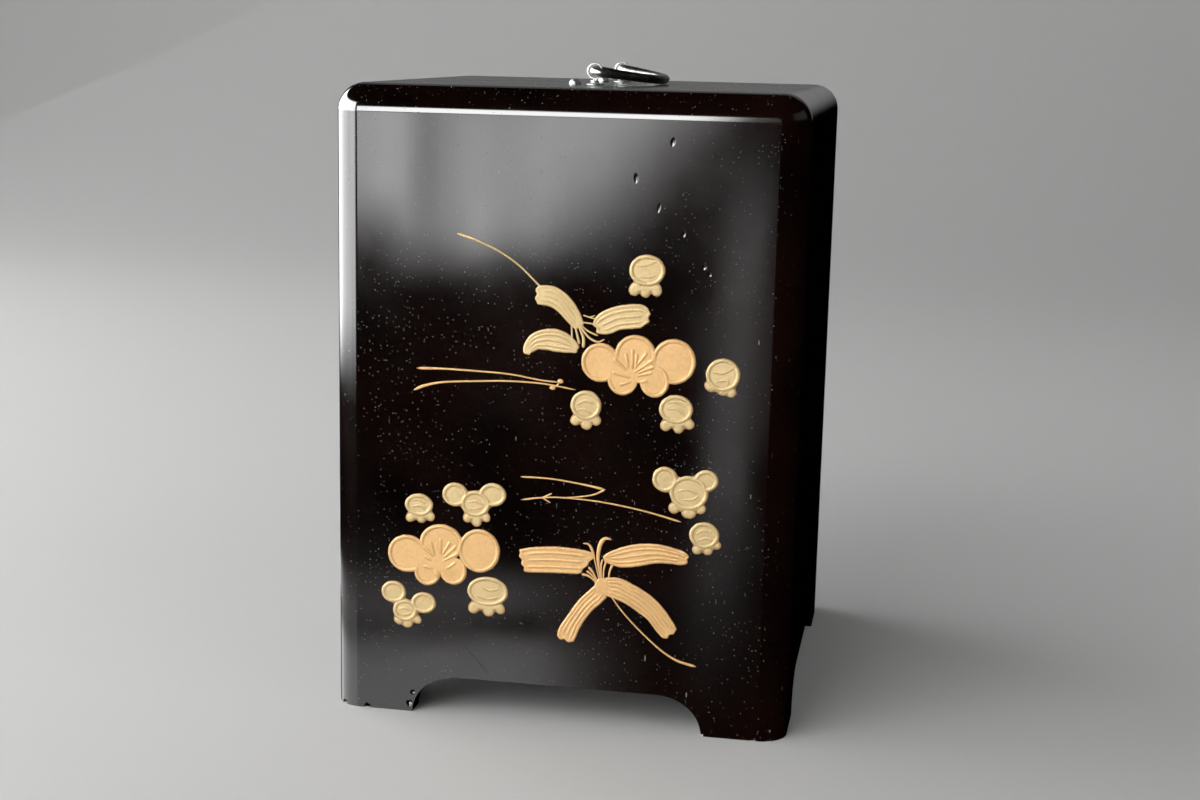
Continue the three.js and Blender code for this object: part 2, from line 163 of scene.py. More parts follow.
blank = bmesh.new()
bmesh.ops.create_cube(blank, size=1)
bmesh.ops.scale(blank, verts=blank.verts, vec=Vector((width, depth, height + 4 * edge_radius)))
bmesh.ops.translate(blank, verts=blank.verts, vec=Vector((0, 0, height / 2 - 2 * edge_radius)))
bmesh.ops.bevel(
    blank, geom=blank.edges[:], offset=edge_radius, segments=14,
    affect="EDGES", profile=0.5, material=-1,
)
below = bmesh.ops.bisect_plane(
    blank, geom=blank.verts[:] + blank.edges[:] + blank.faces[:],
    plane_co=Vector((0, 0, 0)), plane_no=Vector((0, 0, -1)), clear_outer=True,
)["geom_cut"]
bmesh.ops.contextual_create(blank, geom=[e for e in below if isinstance(e, bmesh.types.BMEdge)])
bmesh.ops.recalc_face_normals(blank, faces=blank.faces)
case = settle(blank, "lacquered_case")

along = arch_cutter(depth)
across = arch_cutter(width)
bmesh.ops.rotate(across, verts=across.verts, cent=Vector(), matrix=Matrix.Rotation(math.radians(90), 3, "Z"))
holes = []
for y in (-eye_span / 2, eye_span / 2):
    holes.append(rod(shank_hole, 0, y, under_top - margin, height + margin))
    holes.append(rod(pin_hole, -nail_offset, y, height - pin_depth, height + margin))
carve(case, [
    block(side + wall, -side - wall, front + wall, -front - wall, floor_level, under_top),
    block(side + wall, -side - wall, front + wall, -front - wall, -margin, plinth_height),
    block(side - margin, side + wall + margin, -open_half, open_half, sill_level, head_level),
    block(
        groove_middle - groove_half, groove_middle + groove_half, -open_half, open_half,
        sill_level - sill_groove, head_level + head_groove,
    ),
    along, across, *holes,
])

# The sawn edges that meet the outside are eased by hand, and wear pale first.
eased = bmesh.new()
eased.from_mesh(case.data)
worn = eased.faces.layers.float.new("wear")
outer = [
    edge for edge in eased.edges
    if len(edge.link_faces) == 2 and edge.calc_face_angle(0) > math.radians(40)
    and (
        all(abs(abs(v.co.x) - width * mm / 2) < 1e-6 for v in edge.verts)
        or all(abs(abs(v.co.y) - depth * mm / 2) < 1e-6 for v in edge.verts)
    )
]
rounded = bmesh.ops.bevel(
    eased, geom=outer, offset=0.7 * mm, segments=3, affect="EDGES", profile=0.5,
    material=-1, clamp_overlap=True,
)
for strip in rounded["faces"]:
    strip[worn] = 1
eased.to_mesh(case.data)
eased.free()


def scoop(x, y, z, rx, ry, rz, lean=0, rough=0, seed=0, skin=0):
    """A small rounded cutter for a dent, or a broken one for a chip."""
    bm = bmesh.new()
    if rough:
        made = bmesh.ops.create_icosphere(bm, subdivisions=2, radius=1)["verts"]
        chance = np.random.default_rng(seed)
        for vert in made:
            vert.co *= 1 + rough * (chance.random() - 0.5)
    else:
        made = bmesh.ops.create_uvsphere(bm, u_segments=28, v_segments=18, radius=1)["verts"]
    bmesh.ops.scale(bm, verts=made, vec=Vector((rx, ry, rz)))
    bmesh.ops.rotate(
        bm, verts=made, cent=Vector(), matrix=Matrix.Rotation(math.radians(lean), 3, "Y")
    )
    bmesh.ops.translate(bm, verts=made, vec=Vector((x, y, z)))
    for face in bm.faces:
        face.material_index = skin
        face.smooth = not rough
    return bm


# Dents as x, z, half width, half height and lean on the flowered face.
dents = [
    (39.3, 222, 1.7, 2.9, 8), (26.3, 208.8, 1.5, 3.1, -6), (34.9, 198.4, 1, 2.7, 10),
    (44.2, 189.5, 1.1, 1.9, 0), (51.9, 177.8, 1.6, 1.8, 20), (54, 175.2, 1.2, 1.3, 0),
]
dent_depth = 0.16
carve(case, [
    scoop(x, front - 0.6 * w, z, 1.2 * w, 0.6 * w + dent_depth, 1.2 * h, lean, skin=2)
    for x, z, w, h, lean in dents
])

# Chips as x, y, z and size, through to the ground coat and the wood.
chips = [
    (-57.6, front, 3.2, 1.2), (-56.2, front, 7.8, 0.9), (-74.6, front, 0.2, 1.4),
    (-83.6, front + 3.2, 0.4, 1.7), (55.9, front, 0.4, 1.3), (76.1, front, 0, 1.1),
    (81.9, front + 0.6, 4.2, 1.1), (82.2, front + 0.7, 0.3, 1),
]
carve(case, [
    scoop(x, y, z, size, 0.8 * size, 1.25 * size, 15 * i, rough=0.5, seed=i, skin=1)
    for i, (x, y, z, size) in enumerate(chips)
])


def node(tree, kind, settings=None, **inputs):
    """Adds a shader node. An input given a socket is linked to it, and any other is set."""
    made = tree.nodes.new("ShaderNode" + kind)
    for name, value in (settings or {}).items():
        setattr(made, name, value)
    for name, value in inputs.items():
        key = int(name[1:]) if name[0] == "i" and name[1:].isdigit() else name.replace("_", " ")
        if isinstance(value, bpy.types.NodeSocket):
            tree.links.new(value, made.inputs[key])
        else:
            made.inputs[key].default_value = value
    return made


def finish_of(name, **constants):
    """A new material and its shader, with the values that are the same all over."""
    material = bpy.data.materials.new(name)
    material.use_nodes = True
    tree = material.node_tree
    shader = tree.nodes["Principled BSDF"]
    for key, value in constants.items():
        shader.inputs[key.replace("_", " ")].default_value = value
    return material, tree, shader


def ramp(tree, value, *stops):
    """A colour ramp through (place, grey or colour) stops."""
    made = node(tree, "ValToRGB", Fac=value)
    band = made.color_ramp
    while len(band.elements) < len(stops):
        band.elements.new(0.5)
    for element, (place, tone) in zip(band.elements, stops):
        element.position = place
        element.color = (*tone, 1) if isinstance(tone, tuple) else (tone, tone, tone, 1)
    return made.outputs["Color"]


def new_effect(name, inputs, outputs):
    """An empty effect group with named float inputs and named outputs."""
    group = bpy.data.node_groups.new(name, "ShaderNodeTree")
    group.interface.new_socket("Place", in_out="INPUT", socket_type="NodeSocketVector")
    for label, value in inputs.items():
        made = group.interface.new_socket(label, in_out="INPUT", socket_type="NodeSocketFloat")
        made.default_value = value
    for label, kind in outputs.items():
        group.interface.new_socket(label, in_out="OUTPUT", socket_type="NodeSocket" + kind)
    return group, group.nodes.new("NodeGroupInput"), group.nodes.new("NodeGroupOutput")


def effect(tree, group, **values):
    """Places an effect group in a material with its own values."""
    made = tree.nodes.new("ShaderNodeGroup")
    made.node_tree = group
    for name, value in values.items():
        key = name.replace("_", " ")
        if isinstance(value, bpy.types.NodeSocket):
            tree.links.new(value, made.inputs[key])
        else:
            made.inputs[key].default_value = value
    return made


# Dust: pale specks of uneven size, thicker where a surface faces up.
dust, given, result = new_effect(
    "dust", {"Cells": 260.0, "Amount": 0.3, "On top": 0.4}, {"Specks": "Float"}
)
cells = node(
    dust, "TexVoronoi", Vector=given.outputs["Place"], Scale=given.outputs["Cells"], Randomness=1.0
)
lot = node(dust, "SeparateColor", Color=cells.outputs["Color"])
faces_up = node(dust, "SeparateXYZ", Vector=node(dust, "NewGeometry").outputs["Normal"])
upward = node(
    dust, "MapRange", Value=faces_up.outputs["Z"],
    i1=0.5, i2=1.0, i3=given.outputs["Amount"], i4=given.outputs["On top"],
)
chosen = node(dust, "Math", {"operation": "LESS_THAN"}, i0=lot.outputs["Red"], i1=upward.outputs["Result"])
grain_size = node(dust, "MapRange", Value=lot.outputs["Green"], i1=0.0, i2=1.0, i3=0.04, i4=0.16)
inside_grain = node(
    dust, "Math", {"operation": "LESS_THAN"}, i0=cells.outputs["Distance"], i1=grain_size.outputs["Result"]
)
specks = node(dust, "Math", {"operation": "MULTIPLY"}, i0=chosen.outputs[0], i1=inside_grain.outputs[0])
strength = node(dust, "MapRange", Value=lot.outputs["Blue"], i1=0.0, i2=1.0, i3=0.15, i4=1.0)
faded = node(dust, "Math", {"operation": "MULTIPLY"}, i0=specks.outputs[0], i1=strength.outputs["Result"])
dust.links.new(faded.outputs[0], result.inputs["Specks"])

lacquer, tree, shader = finish_of("lacquer", IOR=1.52)
place = node(tree, "TexCoord").outputs["Object"]
clouds = node(tree, "TexNoise", Vector=place, Scale=28.0, Detail=3.0).outputs["Fac"]
depth_tone = ramp(tree, clouds, (0.3, (0.0022, 0.0009, 0.0007)), (0.75, (0.009, 0.003, 0.0019)))
drift = node(tree, "TexNoise", Vector=place, Scale=24.0, Detail=3.0).outputs["Fac"]
thick = node(tree, "MapRange", Value=drift, i1=0.35, i2=0.7, i3=0.05, i4=0.32).outputs["Result"]
fine_thick = node(tree, "MapRange", Value=drift, i1=0.35, i2=0.65, i3=0.1, i4=0.52).outputs["Result"]
speck = effect(tree, dust, Place=place, Cells=430.0, Amount=thick, On_top=1.0).outputs["Specks"]
fine_speck = effect(tree, dust, Place=place, Cells=900.0, Amount=fine_thick, On_top=1.0).outputs["Specks"]
lint_place = node(tree, "Mapping", Vector=place, Rotation=(0.3, 0.6, 0.2), Scale=(1, 1, 0.22)).outputs[0]
lint = effect(tree, dust, Place=lint_place, Cells=620.0, Amount=0.03, On_top=0.15).outputs["Specks"]
grains = node(tree, "Math", {"operation": "MAXIMUM"}, i0=speck, i1=fine_speck).outputs[0]
dusty = node(tree, "Math", {"operation": "MAXIMUM"}, i0=grains, i1=lint).outputs[0]
wear = node(tree, "Attribute", {"attribute_name": "wear"}).outputs["Fac"]
nibble = node(tree, "TexNoise", Vector=place, Scale=420.0, Detail=4.0).outputs["Fac"]
broken_up = ramp(tree, nibble, (0.42, 0.0), (0.62, 1.0))
rubbed = node(tree, "Math", {"operation": "MULTIPLY"}, i0=wear, i1=broken_up).outputs[0]
rubbed_tone = node(
    tree, "Mix", {"data_type": "RGBA"}, i0=rubbed, i6=depth_tone, i7=(0.075, 0.055, 0.045, 1)
).outputs[2]
facing = node(tree, "SeparateXYZ", Vector=node(tree, "NewGeometry").outputs["Normal"]).outputs["Z"]
lying_flat = node(tree, "MapRange", Value=facing, i1=0.93, i2=1.0, i3=0.0, i4=1.0).outputs["Result"]
drifts = node(tree, "TexNoise", Vector=place, Scale=60.0, Detail=4.0).outputs["Fac"]
settled = ramp(tree, drifts, (0.3, 0.35), (0.7, 1.0))
film = node(tree, "Math", {"operation": "MULTIPLY"}, i0=lying_flat, i1=settled).outputs[0]
filmed = node(tree, "Math", {"operation": "MULTIPLY"}, i0=film, i1=0.3).outputs[0]
filmed_tone = node(
    tree, "Mix", {"data_type": "RGBA"}, i0=filmed, i6=rubbed_tone, i7=(0.085, 0.07, 0.058, 1)
).outputs[2]
skin = node(
    tree, "Mix", {"data_type": "RGBA"}, i0=dusty, i6=filmed_tone, i7=(0.14, 0.132, 0.122, 1)
).outputs[2]
tree.links.new(skin, shader.inputs["Base Color"])

# A faint scratch runs down the front above the left foot.
scratch_half_width = 0.13
scratch_from, scratch_to = Vector((-39, 0, 31.7)) * mm, Vector((-26.3, 0, 18.1)) * mm
scratch_middle = (scratch_from + scratch_to) / 2
scratch_run = scratch_to - scratch_from
scratch_slope = math.atan2(scratch_run.z, scratch_run.x)
scratch_place = node(
    tree, "Mapping", Vector=place, Rotation=(0, scratch_slope, 0),
    Location=-(Matrix.Rotation(scratch_slope, 3, "Y") @ scratch_middle),
).outputs[0]
scratch_axes = node(tree, "SeparateXYZ", Vector=scratch_place)
on_line = node(
    tree, "Math", {"operation": "COMPARE"}, i0=scratch_axes.outputs["Z"], i1=0.0, i2=scratch_half_width * mm
).outputs[0]
in_length = node(
    tree, "Math", {"operation": "COMPARE"}, i0=scratch_axes.outputs["X"], i1=0.0, i2=scratch_run.length / 2
).outputs[0]
to_back = node(tree, "SeparateXYZ", Vector=place).outputs["Y"]
on_front = node(tree, "Math", {"operation": "LESS_THAN"}, i0=to_back, i1=(front + 0.5) * mm).outputs[0]
hairline = node(tree, "Math", {"operation": "MULTIPLY"}, i0=on_line, i1=in_length).outputs[0]
scratched = node(tree, "Math", {"operation": "MULTIPLY"}, i0=hairline, i1=on_front).outputs[0]

smears = node(tree, "TexNoise", Vector=place, Scale=16.0, Detail=5.0, Roughness=0.6).outputs["Fac"]
polish = node(tree, "MapRange", Value=smears, i1=0.35, i2=0.75, i3=0.05, i4=0.13).outputs["Result"]
rubbed_dull = node(tree, "Math", {"operation": "MULTIPLY"}, i0=rubbed, i1=0.6).outputs[0]
scratched_dull = node(tree, "Math", {"operation": "MULTIPLY"}, i0=scratched, i1=0.3).outputs[0]
dulled = dusty
for dulling in (rubbed_dull, scratched_dull, filmed):
    dulled = node(tree, "Math", {"operation": "MAXIMUM"}, i0=dulled, i1=dulling).outputs[0]
rough = node(tree, "Mix", {"data_type": "FLOAT"}, i0=dulled, i2=polish, i3=0.75).outputs[0]
tree.links.new(rough, shader.inputs["Roughness"])

# The polish is wavy: broad swells, and finer streaks down the sides.
swell = node(tree, "TexNoise", Vector=place, Scale=22.0, Detail=2.0).outputs["Fac"]
stretched = node(tree, "Mapping", Vector=place, Scale=(1.0, 1.0, 0.06)).outputs[0]
streaks = node(tree, "TexNoise", Vector=stretched, Scale=190.0, Detail=3.0).outputs["Fac"]
broad = node(tree, "Bump", Strength=1.0, Distance=0.035 * mm, Height=swell).outputs[0]
streaky = node(tree, "Bump", Strength=1.0, Distance=0.0028 * mm, Height=streaks, Normal=broad).outputs[0]
raised_dust = node(tree, "Bump", Strength=0.6, Distance=0.08 * mm, Height=dusty, Normal=streaky).outputs[0]
tree.links.new(raised_dust, shader.inputs["Normal"])

chip_wood, tree, shader = finish_of("chipped_wood", Roughness=0.85)
place = node(tree, "TexCoord").outputs["Object"]
fibres = node(tree, "TexNoise", Vector=place, Scale=900.0, Detail=3.0).outputs["Fac"]
wood_tone = ramp(tree, fibres, (0.3, (0.2, 0.085, 0.035)), (0.6, (0.5, 0.3, 0.2)), (0.75, (0.75, 0.66, 0.58)))
tree.links.new(wood_tone, shader.inputs["Base Color"])

scuffed, tree, shader = finish_of("scuffed_lacquer", Roughness=0.55)
place = node(tree, "TexCoord").outputs["Object"]
rubs = node(tree, "TexNoise", Vector=place, Scale=1500.0, Detail=3.0).outputs["Fac"]
tree.links.new(
    ramp(tree, rubs, (0.35, (0.012, 0.01, 0.009)), (0.6, (0.11, 0.1, 0.09))), shader.inputs["Base Color"]
)

case.data.materials.clear()
case.data.materials.append(lacquer)
case.data.materials.append(chip_wood)
case.data.materials.append(scuffed)
smooth(case)
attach(case, "box")
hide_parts("carcass")

# Lift-out panel. A lacquered board slides up into the head groove and drops into the sill
# groove, and a scooped notch takes a fingertip.
head_hold = 4
notch_width, notch_height, notch_depth, notch_drop = 30, 11, 1.6, 22
board = block(
    groove_middle - panel_thickness / 2, groove_middle + panel_thickness / 2,
    -open_half + panel_clearance, open_half - panel_clearance,
    sill_level - sill_groove, head_level + head_hold,
)
bmesh.ops.bevel(
    board, geom=board.edges[:], offset=0.5, segments=3, affect="EDGES", profile=0.5, material=-1
)
panel = settle(board, "side_panel")
panel_face = groove_middle - panel_thickness / 2
carve(panel, [
    scoop(panel_face, 0, head_level - notch_drop, notch_depth, notch_width / 2, notch_height / 2)
])
panel.data.materials.clear()
panel.data.materials.append(lacquer)
smooth(panel)
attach(panel, "box")
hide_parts("lift_panel")

# Eyelets, cups and nails, of old white metal. Each end of the handle hangs in a ring of bent
# wire, whose two legs go down through a flared cup and the top board and are bent over under
# it. A domed nail is driven in beside each ring.
pivot_height, ring_radius, wire_radius = 5.2, 2.86, 0.38
shank_wire, shank_apart, shank_lap = 0.37, 0.36, 0.2
leg_length, leg_width, leg_thickness = 12, 1.4, 0.7
cup_radius, cup_rim, cup_height = 3.7, 1.5, 1.7
nail_radius, nail_height, pin_radius, pin_length = 2.3, 2.2, 0.5, 6


def spun(bm, profile, steps=40):
    """A shape turned round the upright axis from (radius, height) points."""
    rim = [bm.verts.new((r, 0, z)) for r, z in profile]
    line = [bm.edges.new(pair) for pair in zip(rim, rim[1:])]
    bmesh.ops.spin(
        bm, geom=rim + line, cent=Vector(), axis=Vector((0, 0, 1)), angle=2 * math.pi,
        steps=steps, use_merge=True,
    )
    bmesh.ops.remove_doubles(bm, verts=bm.verts, dist=1e-5)
    bmesh.ops.recalc_face_normals(bm, faces=bm.faces)


metal_dust = (0.12, 0.11, 0.1, 1)


def metal_finish(name, bright, dark, patina_amount):
    """Old white metal: bright where it is rubbed, dark grey-green in the patina."""
    material, tree, shader = finish_of(name, Metallic=1.0)
    place = node(tree, "TexCoord").outputs["Object"]
    blotches = node(tree, "TexNoise", Vector=place, Scale=450.0, Detail=4.0, Roughness=0.65).outputs["Fac"]
    cover = node(
        tree, "MapRange", Value=blotches, i1=0.75 - patina_amount, i2=0.95 - patina_amount, i3=0.0, i4=1.0
    ).outputs["Result"]
    tone = node(tree, "Mix", {"data_type": "RGBA"}, i0=cover, i6=bright, i7=dark).outputs[2]
    grey_specks = effect(tree, dust, Place=place, Cells=1300.0, Amount=0.15, On_top=0.8).outputs["Specks"]
    dusted = node(tree, "Mix", {"data_type": "RGBA"}, i0=grey_specks, i6=tone, i7=metal_dust).outputs[2]
    tree.links.new(dusted, shader.inputs["Base Color"])
    shine = node(tree, "MapRange", Value=cover, i1=0.0, i2=1.0, i3=0.48, i4=0.6).outputs["Result"]
    tree.links.new(shine, shader.inputs["Roughness"])
    pits = node(tree, "TexNoise", Vector=place, Scale=1400.0, Detail=2.0).outputs["Fac"]
    dimple = node(tree, "Bump", Strength=0.5, Distance=0.03 * mm, Height=pits).outputs[0]
    tree.links.new(dimple, shader.inputs["Normal"])
    return material


bright_metal = metal_finish("rubbed_metal", (0.33, 0.34, 0.325, 1), (0.07, 0.075, 0.068, 1), 0.14)
for end, y in (("front", -eye_span / 2), ("back", eye_span / 2)):
    wire = bmesh.new()
    loop = bmesh.ops.create_circle(wire, segments=14, radius=wire_radius)["verts"]
    bmesh.ops.translate(wire, verts=loop, vec=Vector((ring_radius, 0, 0)))
    bmesh.ops.spin(
        wire, geom=wire.verts[:] + wire.edges[:], cent=Vector(), axis=Vector((0, 1, 0)),
        angle=2 * math.pi, steps=48, use_merge=True,
    )
    bmesh.ops.translate(wire, verts=wire.verts, vec=Vector((0, 0, height + pivot_height)))
    for bend in (-1, 1):
        shank = bmesh.ops.create_cone(
            wire, cap_ends=True, segments=14, radius1=shank_wire, radius2=shank_wire,
            depth=pivot_height - ring_radius + top_thickness + shank_lap,
        )["verts"]
        middle = (height + pivot_height - ring_radius + under_top) / 2
        bmesh.ops.translate(wire, verts=shank, vec=Vector((bend * shank_apart, 0, middle)))
        leg = bmesh.ops.create_cube(wire, size=1)["verts"]
        bmesh.ops.scale(wire, verts=leg, vec=Vector((leg_length / 2, leg_width, leg_thickness)))
        bmesh.ops.translate(
            wire, verts=leg, vec=Vector((bend * leg_length / 4, 0, under_top - leg_thickness / 2))
        )
        bmesh.ops.bevel(
            wire, geom=[e for e in wire.edges if all(v in leg for v in e.verts)],
            offset=0.2, segments=2, affect="EDGES", profile=0.5, material=-1,
        )
    bmesh.ops.recalc_face_normals(wire, faces=wire.faces)
    bmesh.ops.translate(wire, verts=wire.verts, vec=Vector((0, y, 0)))
    eyelet = settle(wire, "wire_eyelet_" + end)

    flare = bmesh.new()
    spun(flare, [
        (shank_hole, 0), (cup_radius - 0.15, 0), (cup_radius, 0.1), (cup_radius, 0.25),
        (cup_radius - 0.2, 0.4), (cup_radius - 0.6, 0.42), (cup_rim + 0.6, 0.55), (cup_rim + 0.1, 0.9),
        (cup_rim, 1.2), (cup_rim + 0.25, 1.5), (cup_rim + 0.15, cup_height),
        (shank_hole, cup_height - 0.1), (shank_hole, 0),
    ])
    bmesh.ops.translate(flare, verts=flare.verts, vec=Vector((0, y, height)))
    cup = settle(flare, "flared_cup_" + end)

    dome = bmesh.new()
    profile = [(0, -pin_length), (pin_radius * 0.5, -pin_length + 0.6), (pin_radius, -pin_length + 1.4)]
    profile += [(pin_radius, 0), (nail_radius - 0.1, 0), (nail_radius, 0.12), (nail_radius, 0.3)]
    for step in range(1, 10):
        turn = math.radians(10 * step)
        profile.append((nail_radius * math.cos(turn), 0.3 + (nail_height - 0.3) * math.sin(turn)))
    profile[-1] = (0, nail_height)
    spun(dome, profile)
    bmesh.ops.translate(dome, verts=dome.verts, vec=Vector((-nail_offset, y, height)))
    nail = settle(dome, "domed_nail_" + end)

    for piece, cad_node in ((eyelet, "eyelet_"), (cup, "cup_"), (nail, "nail_")):
        piece.data.materials.append(bright_metal)
        smooth(piece, 40)
        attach(piece, "box")
        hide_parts(cad_node + end)

# Drop handle. A cast bow of the same metal, dark with age, ends in two hooks that pass through
# the rings, so that it turns on them. Its tips taper and are rubbed bright.
bail_reach, bail_radius, hook_radius, hook_bend = 22.7, 1.75, 2.1, 3
tip_radius, tip_length, rest_gap = 1.05, 2.6, 0.3
drop = math.asin((pivot_height - bail_radius - rest_gap) / bail_reach)
half_line = []
for step in range(6):
    turn = math.radians(15 * (step + 1))
    half_line.append((
        hook_bend + tip_length - tip_radius * (1 - math.cos(turn)),
        -eye_span / 2 - hook_bend, tip_radius * math.sin(turn),
    ))
for step in range(1, 4):
    share = step / 4
    half_line.append((
        hook_bend + (tip_length - tip_radius) * (1 - share), -eye_span / 2 - hook_bend,
        tip_radius + (hook_radius - tip_radius) * 0.45 * share,
    ))
for step in range(17):
    turn = math.pi * step / 16
    half_line.append((
        hook_bend * (1 - math.sin(turn)), -eye_span / 2 - hook_bend * math.cos(turn),
        tip_radius + (hook_radius - tip_radius) * min(1, 0.45 + 1.1 * step / 16),
    ))
for step in range(1, 25):
    turn = math.radians(90 * step / 24)
    half_line.append((
        hook_bend + (bail_reach - hook_bend) * math.sin(turn),
        -(eye_span / 2 - hook_bend) * math.cos(turn),
        hook_radius + (bail_radius - hook_radius) * min(1, step / 8),
    ))
whole_line = half_line + [(reach, -y, radius) for reach, y, radius in reversed(half_line[:-1])]
path = bpy.data.curves.new("bail_path", "CURVE")
path.dimensions = "3D"
path.bevel_depth = mm
path.bevel_resolution = 6
path.use_fill_caps = True
bow = path.splines.new("POLY")
bow.points.add(len(whole_line) - 1)
for point, (reach, y, radius) in zip(bow.points, whole_line):
    point.co = (
        reach * math.cos(drop) * mm, y * mm,
        (height + pivot_height - reach * math.sin(drop)) * mm, 1,
    )
    point.radius = radius
drawn = bpy.data.objects.new("bail_path", path)
scene.collection.objects.link(drawn)
bpy.context.view_layer.update()
swept = bpy.data.meshes.new_from_object(drawn.evaluated_get(bpy.context.evaluated_depsgraph_get()))
bpy.data.objects.remove(drawn)
cast = bmesh.new()
cast.from_mesh(swept)
bmesh.ops.remove_doubles(cast, verts=cast.verts, dist=1e-6)
bmesh.ops.recalc_face_normals(cast, faces=cast.faces)
handle = settle(cast, "drop_handle", scale=1)
handle.data.materials.clear()

dark_metal, tree, shader = finish_of("aged_metal", Metallic=1.0)
place = node(tree, "TexCoord").outputs["Object"]
axes = node(tree, "SeparateXYZ", Vector=place)
from_rings = node(
    tree, "MapRange", Value=axes.outputs["X"], i1=4.6 * mm, i2=6.4 * mm, i3=0.0, i4=1.0
).outputs["Result"]
mottle = node(tree, "TexNoise", Vector=place, Scale=380.0, Detail=4.0, Roughness=0.65).outputs["Fac"]
patches = node(tree, "MapRange", Value=mottle, i1=0.35, i2=0.7, i3=0.55, i4=1.0).outputs["Result"]
aged = node(tree, "Math", {"operation": "MULTIPLY"}, i0=from_rings, i1=patches).outputs[0]
tone = node(
    tree, "Mix", {"data_type": "RGBA"}, i0=aged, i6=(0.2, 0.207, 0.196, 1), i7=(0.034, 0.04, 0.036, 1)
).outputs[2]
grey_specks = effect(tree, dust, Place=place, Cells=1100.0, Amount=0.1, On_top=0.8).outputs["Specks"]
dusted = node(tree, "Mix", {"data_type": "RGBA"}, i0=grey_specks, i6=tone, i7=metal_dust).outputs[2]
tree.links.new(dusted, shader.inputs["Base Color"])
shine = node(tree, "MapRange", Value=mottle, i1=0.3, i2=0.7, i3=0.28, i4=0.42).outputs["Result"]
tree.links.new(shine, shader.inputs["Roughness"])
pits = node(tree, "TexNoise", Vector=place, Scale=1200.0, Detail=2.0).outputs["Fac"]
dimple = node(tree, "Bump", Strength=0.5, Distance=0.03 * mm, Height=pits).outputs[0]
tree.links.new(dimple, shader.inputs["Normal"])
handle.data.materials.append(dark_metal)
smooth(handle, 50)
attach(handle, "handle")
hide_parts("bail")

# Open blossoms. The gilder builds each flower up in lacquer, with a rim round each petal and
# raised stamens that fan from the heart, and dusts it with gold powder before it sets.
edge_height, field_height, rim_height, top_limit = 0.1, 0.33, 0.58, 0.59
sunk = 0.05
grid_step = 0.25


def fade(value, low, high):
    """Goes smoothly from 0 at low to 1 at high."""
    share = np.clip((value - low) / (high - low), 0, 1)
    return share * share * (3 - 2 * share)


def oval_reach(x, z, shape):
    """How far a place lies outside an oval, less than 0 inside."""
    centre_x, centre_z, rx, rz, tilt = (*shape, 0)[:5]
    along = (x - centre_x) * math.cos(tilt) + (z - centre_z) * math.sin(tilt)
    up = (z - centre_z) * math.cos(tilt) - (x - centre_x) * math.sin(tilt)
    ring = np.hypot(along / rx, up / rz)
    return ring * (ring - 1) / np.maximum(np.hypot(along / rx**2, up / rz**2), 1e-6)


def blend(parts, soft):
    """The nearest of several outlines, with the nooks between them filled softly."""
    joined = parts[0]
    for part in parts[1:]:
        share = np.clip(0.5 + 0.5 * (part - joined) / soft, 0, 1)
        joined = part + (joined - part) * share - soft * share * (1 - share)
    return joined


def unevenness(x, z):
    """The slight wander of a hand-drawn edge, from -1 to 1."""
    return (np.sin(1.7 * x + 0.8 * z) + np.sin(1.2 * z - 0.7 * x + 2) + np.sin(3.1 * x - 2.3 * z + 1)) / 3


def ridge_lift(x, z, ridges):
    """Height of drawn ridges, each a run of (x, z, half width) and a height."""
    lift = np.zeros_like(x)
    for run, rise in ridges:
        one = np.zeros_like(x)
        for (x0, z0, w0), (x1, z1, w1) in zip(run, run[1:]):
            long = (x1 - x0) ** 2 + (z1 - z0) ** 2
            share = np.clip(((x - x0) * (x1 - x0) + (z - z0) * (z1 - z0)) / long, 0, 1)
            off = np.hypot(x - x0 - share * (x1 - x0), z - z0 - share * (z1 - z0))
            one = np.maximum(one, rise * fade(-off / (w0 + share * (w1 - w0)), -1, 0))
        lift = lift + one
    return lift


def close_down(bm, faces):
    """Walls a raised sheet down into the lacquer and closes it underneath."""
    rim = [edge for edge in {edge for face in faces for edge in face.edges} if edge.is_boundary]
    walls = bmesh.ops.extrude_edge_only(bm, edges=rim)["geom"]
    for vert in walls:
        if isinstance(vert, bmesh.types.BMVert):
            vert.co.z = -sunk
    foot = [edge for edge in walls if isinstance(edge, bmesh.types.BMEdge) and edge.is_boundary]
    bmesh.ops.holes_fill(bm, edges=foot, sides=0)


def hollow_shading(relief, x, z):
    """How hollow the relief is at each place, from 0 to 1, for the painted shade that darkens the gold in its
    hollows.
    """
    near = 0.3
    around = [relief(x + a, z + b) for a, b in ((near, 0), (-near, 0), (0, near), (0, -near))]
    return fade(np.mean(around, axis=0) - relief(x, z), 0.004, 0.045)


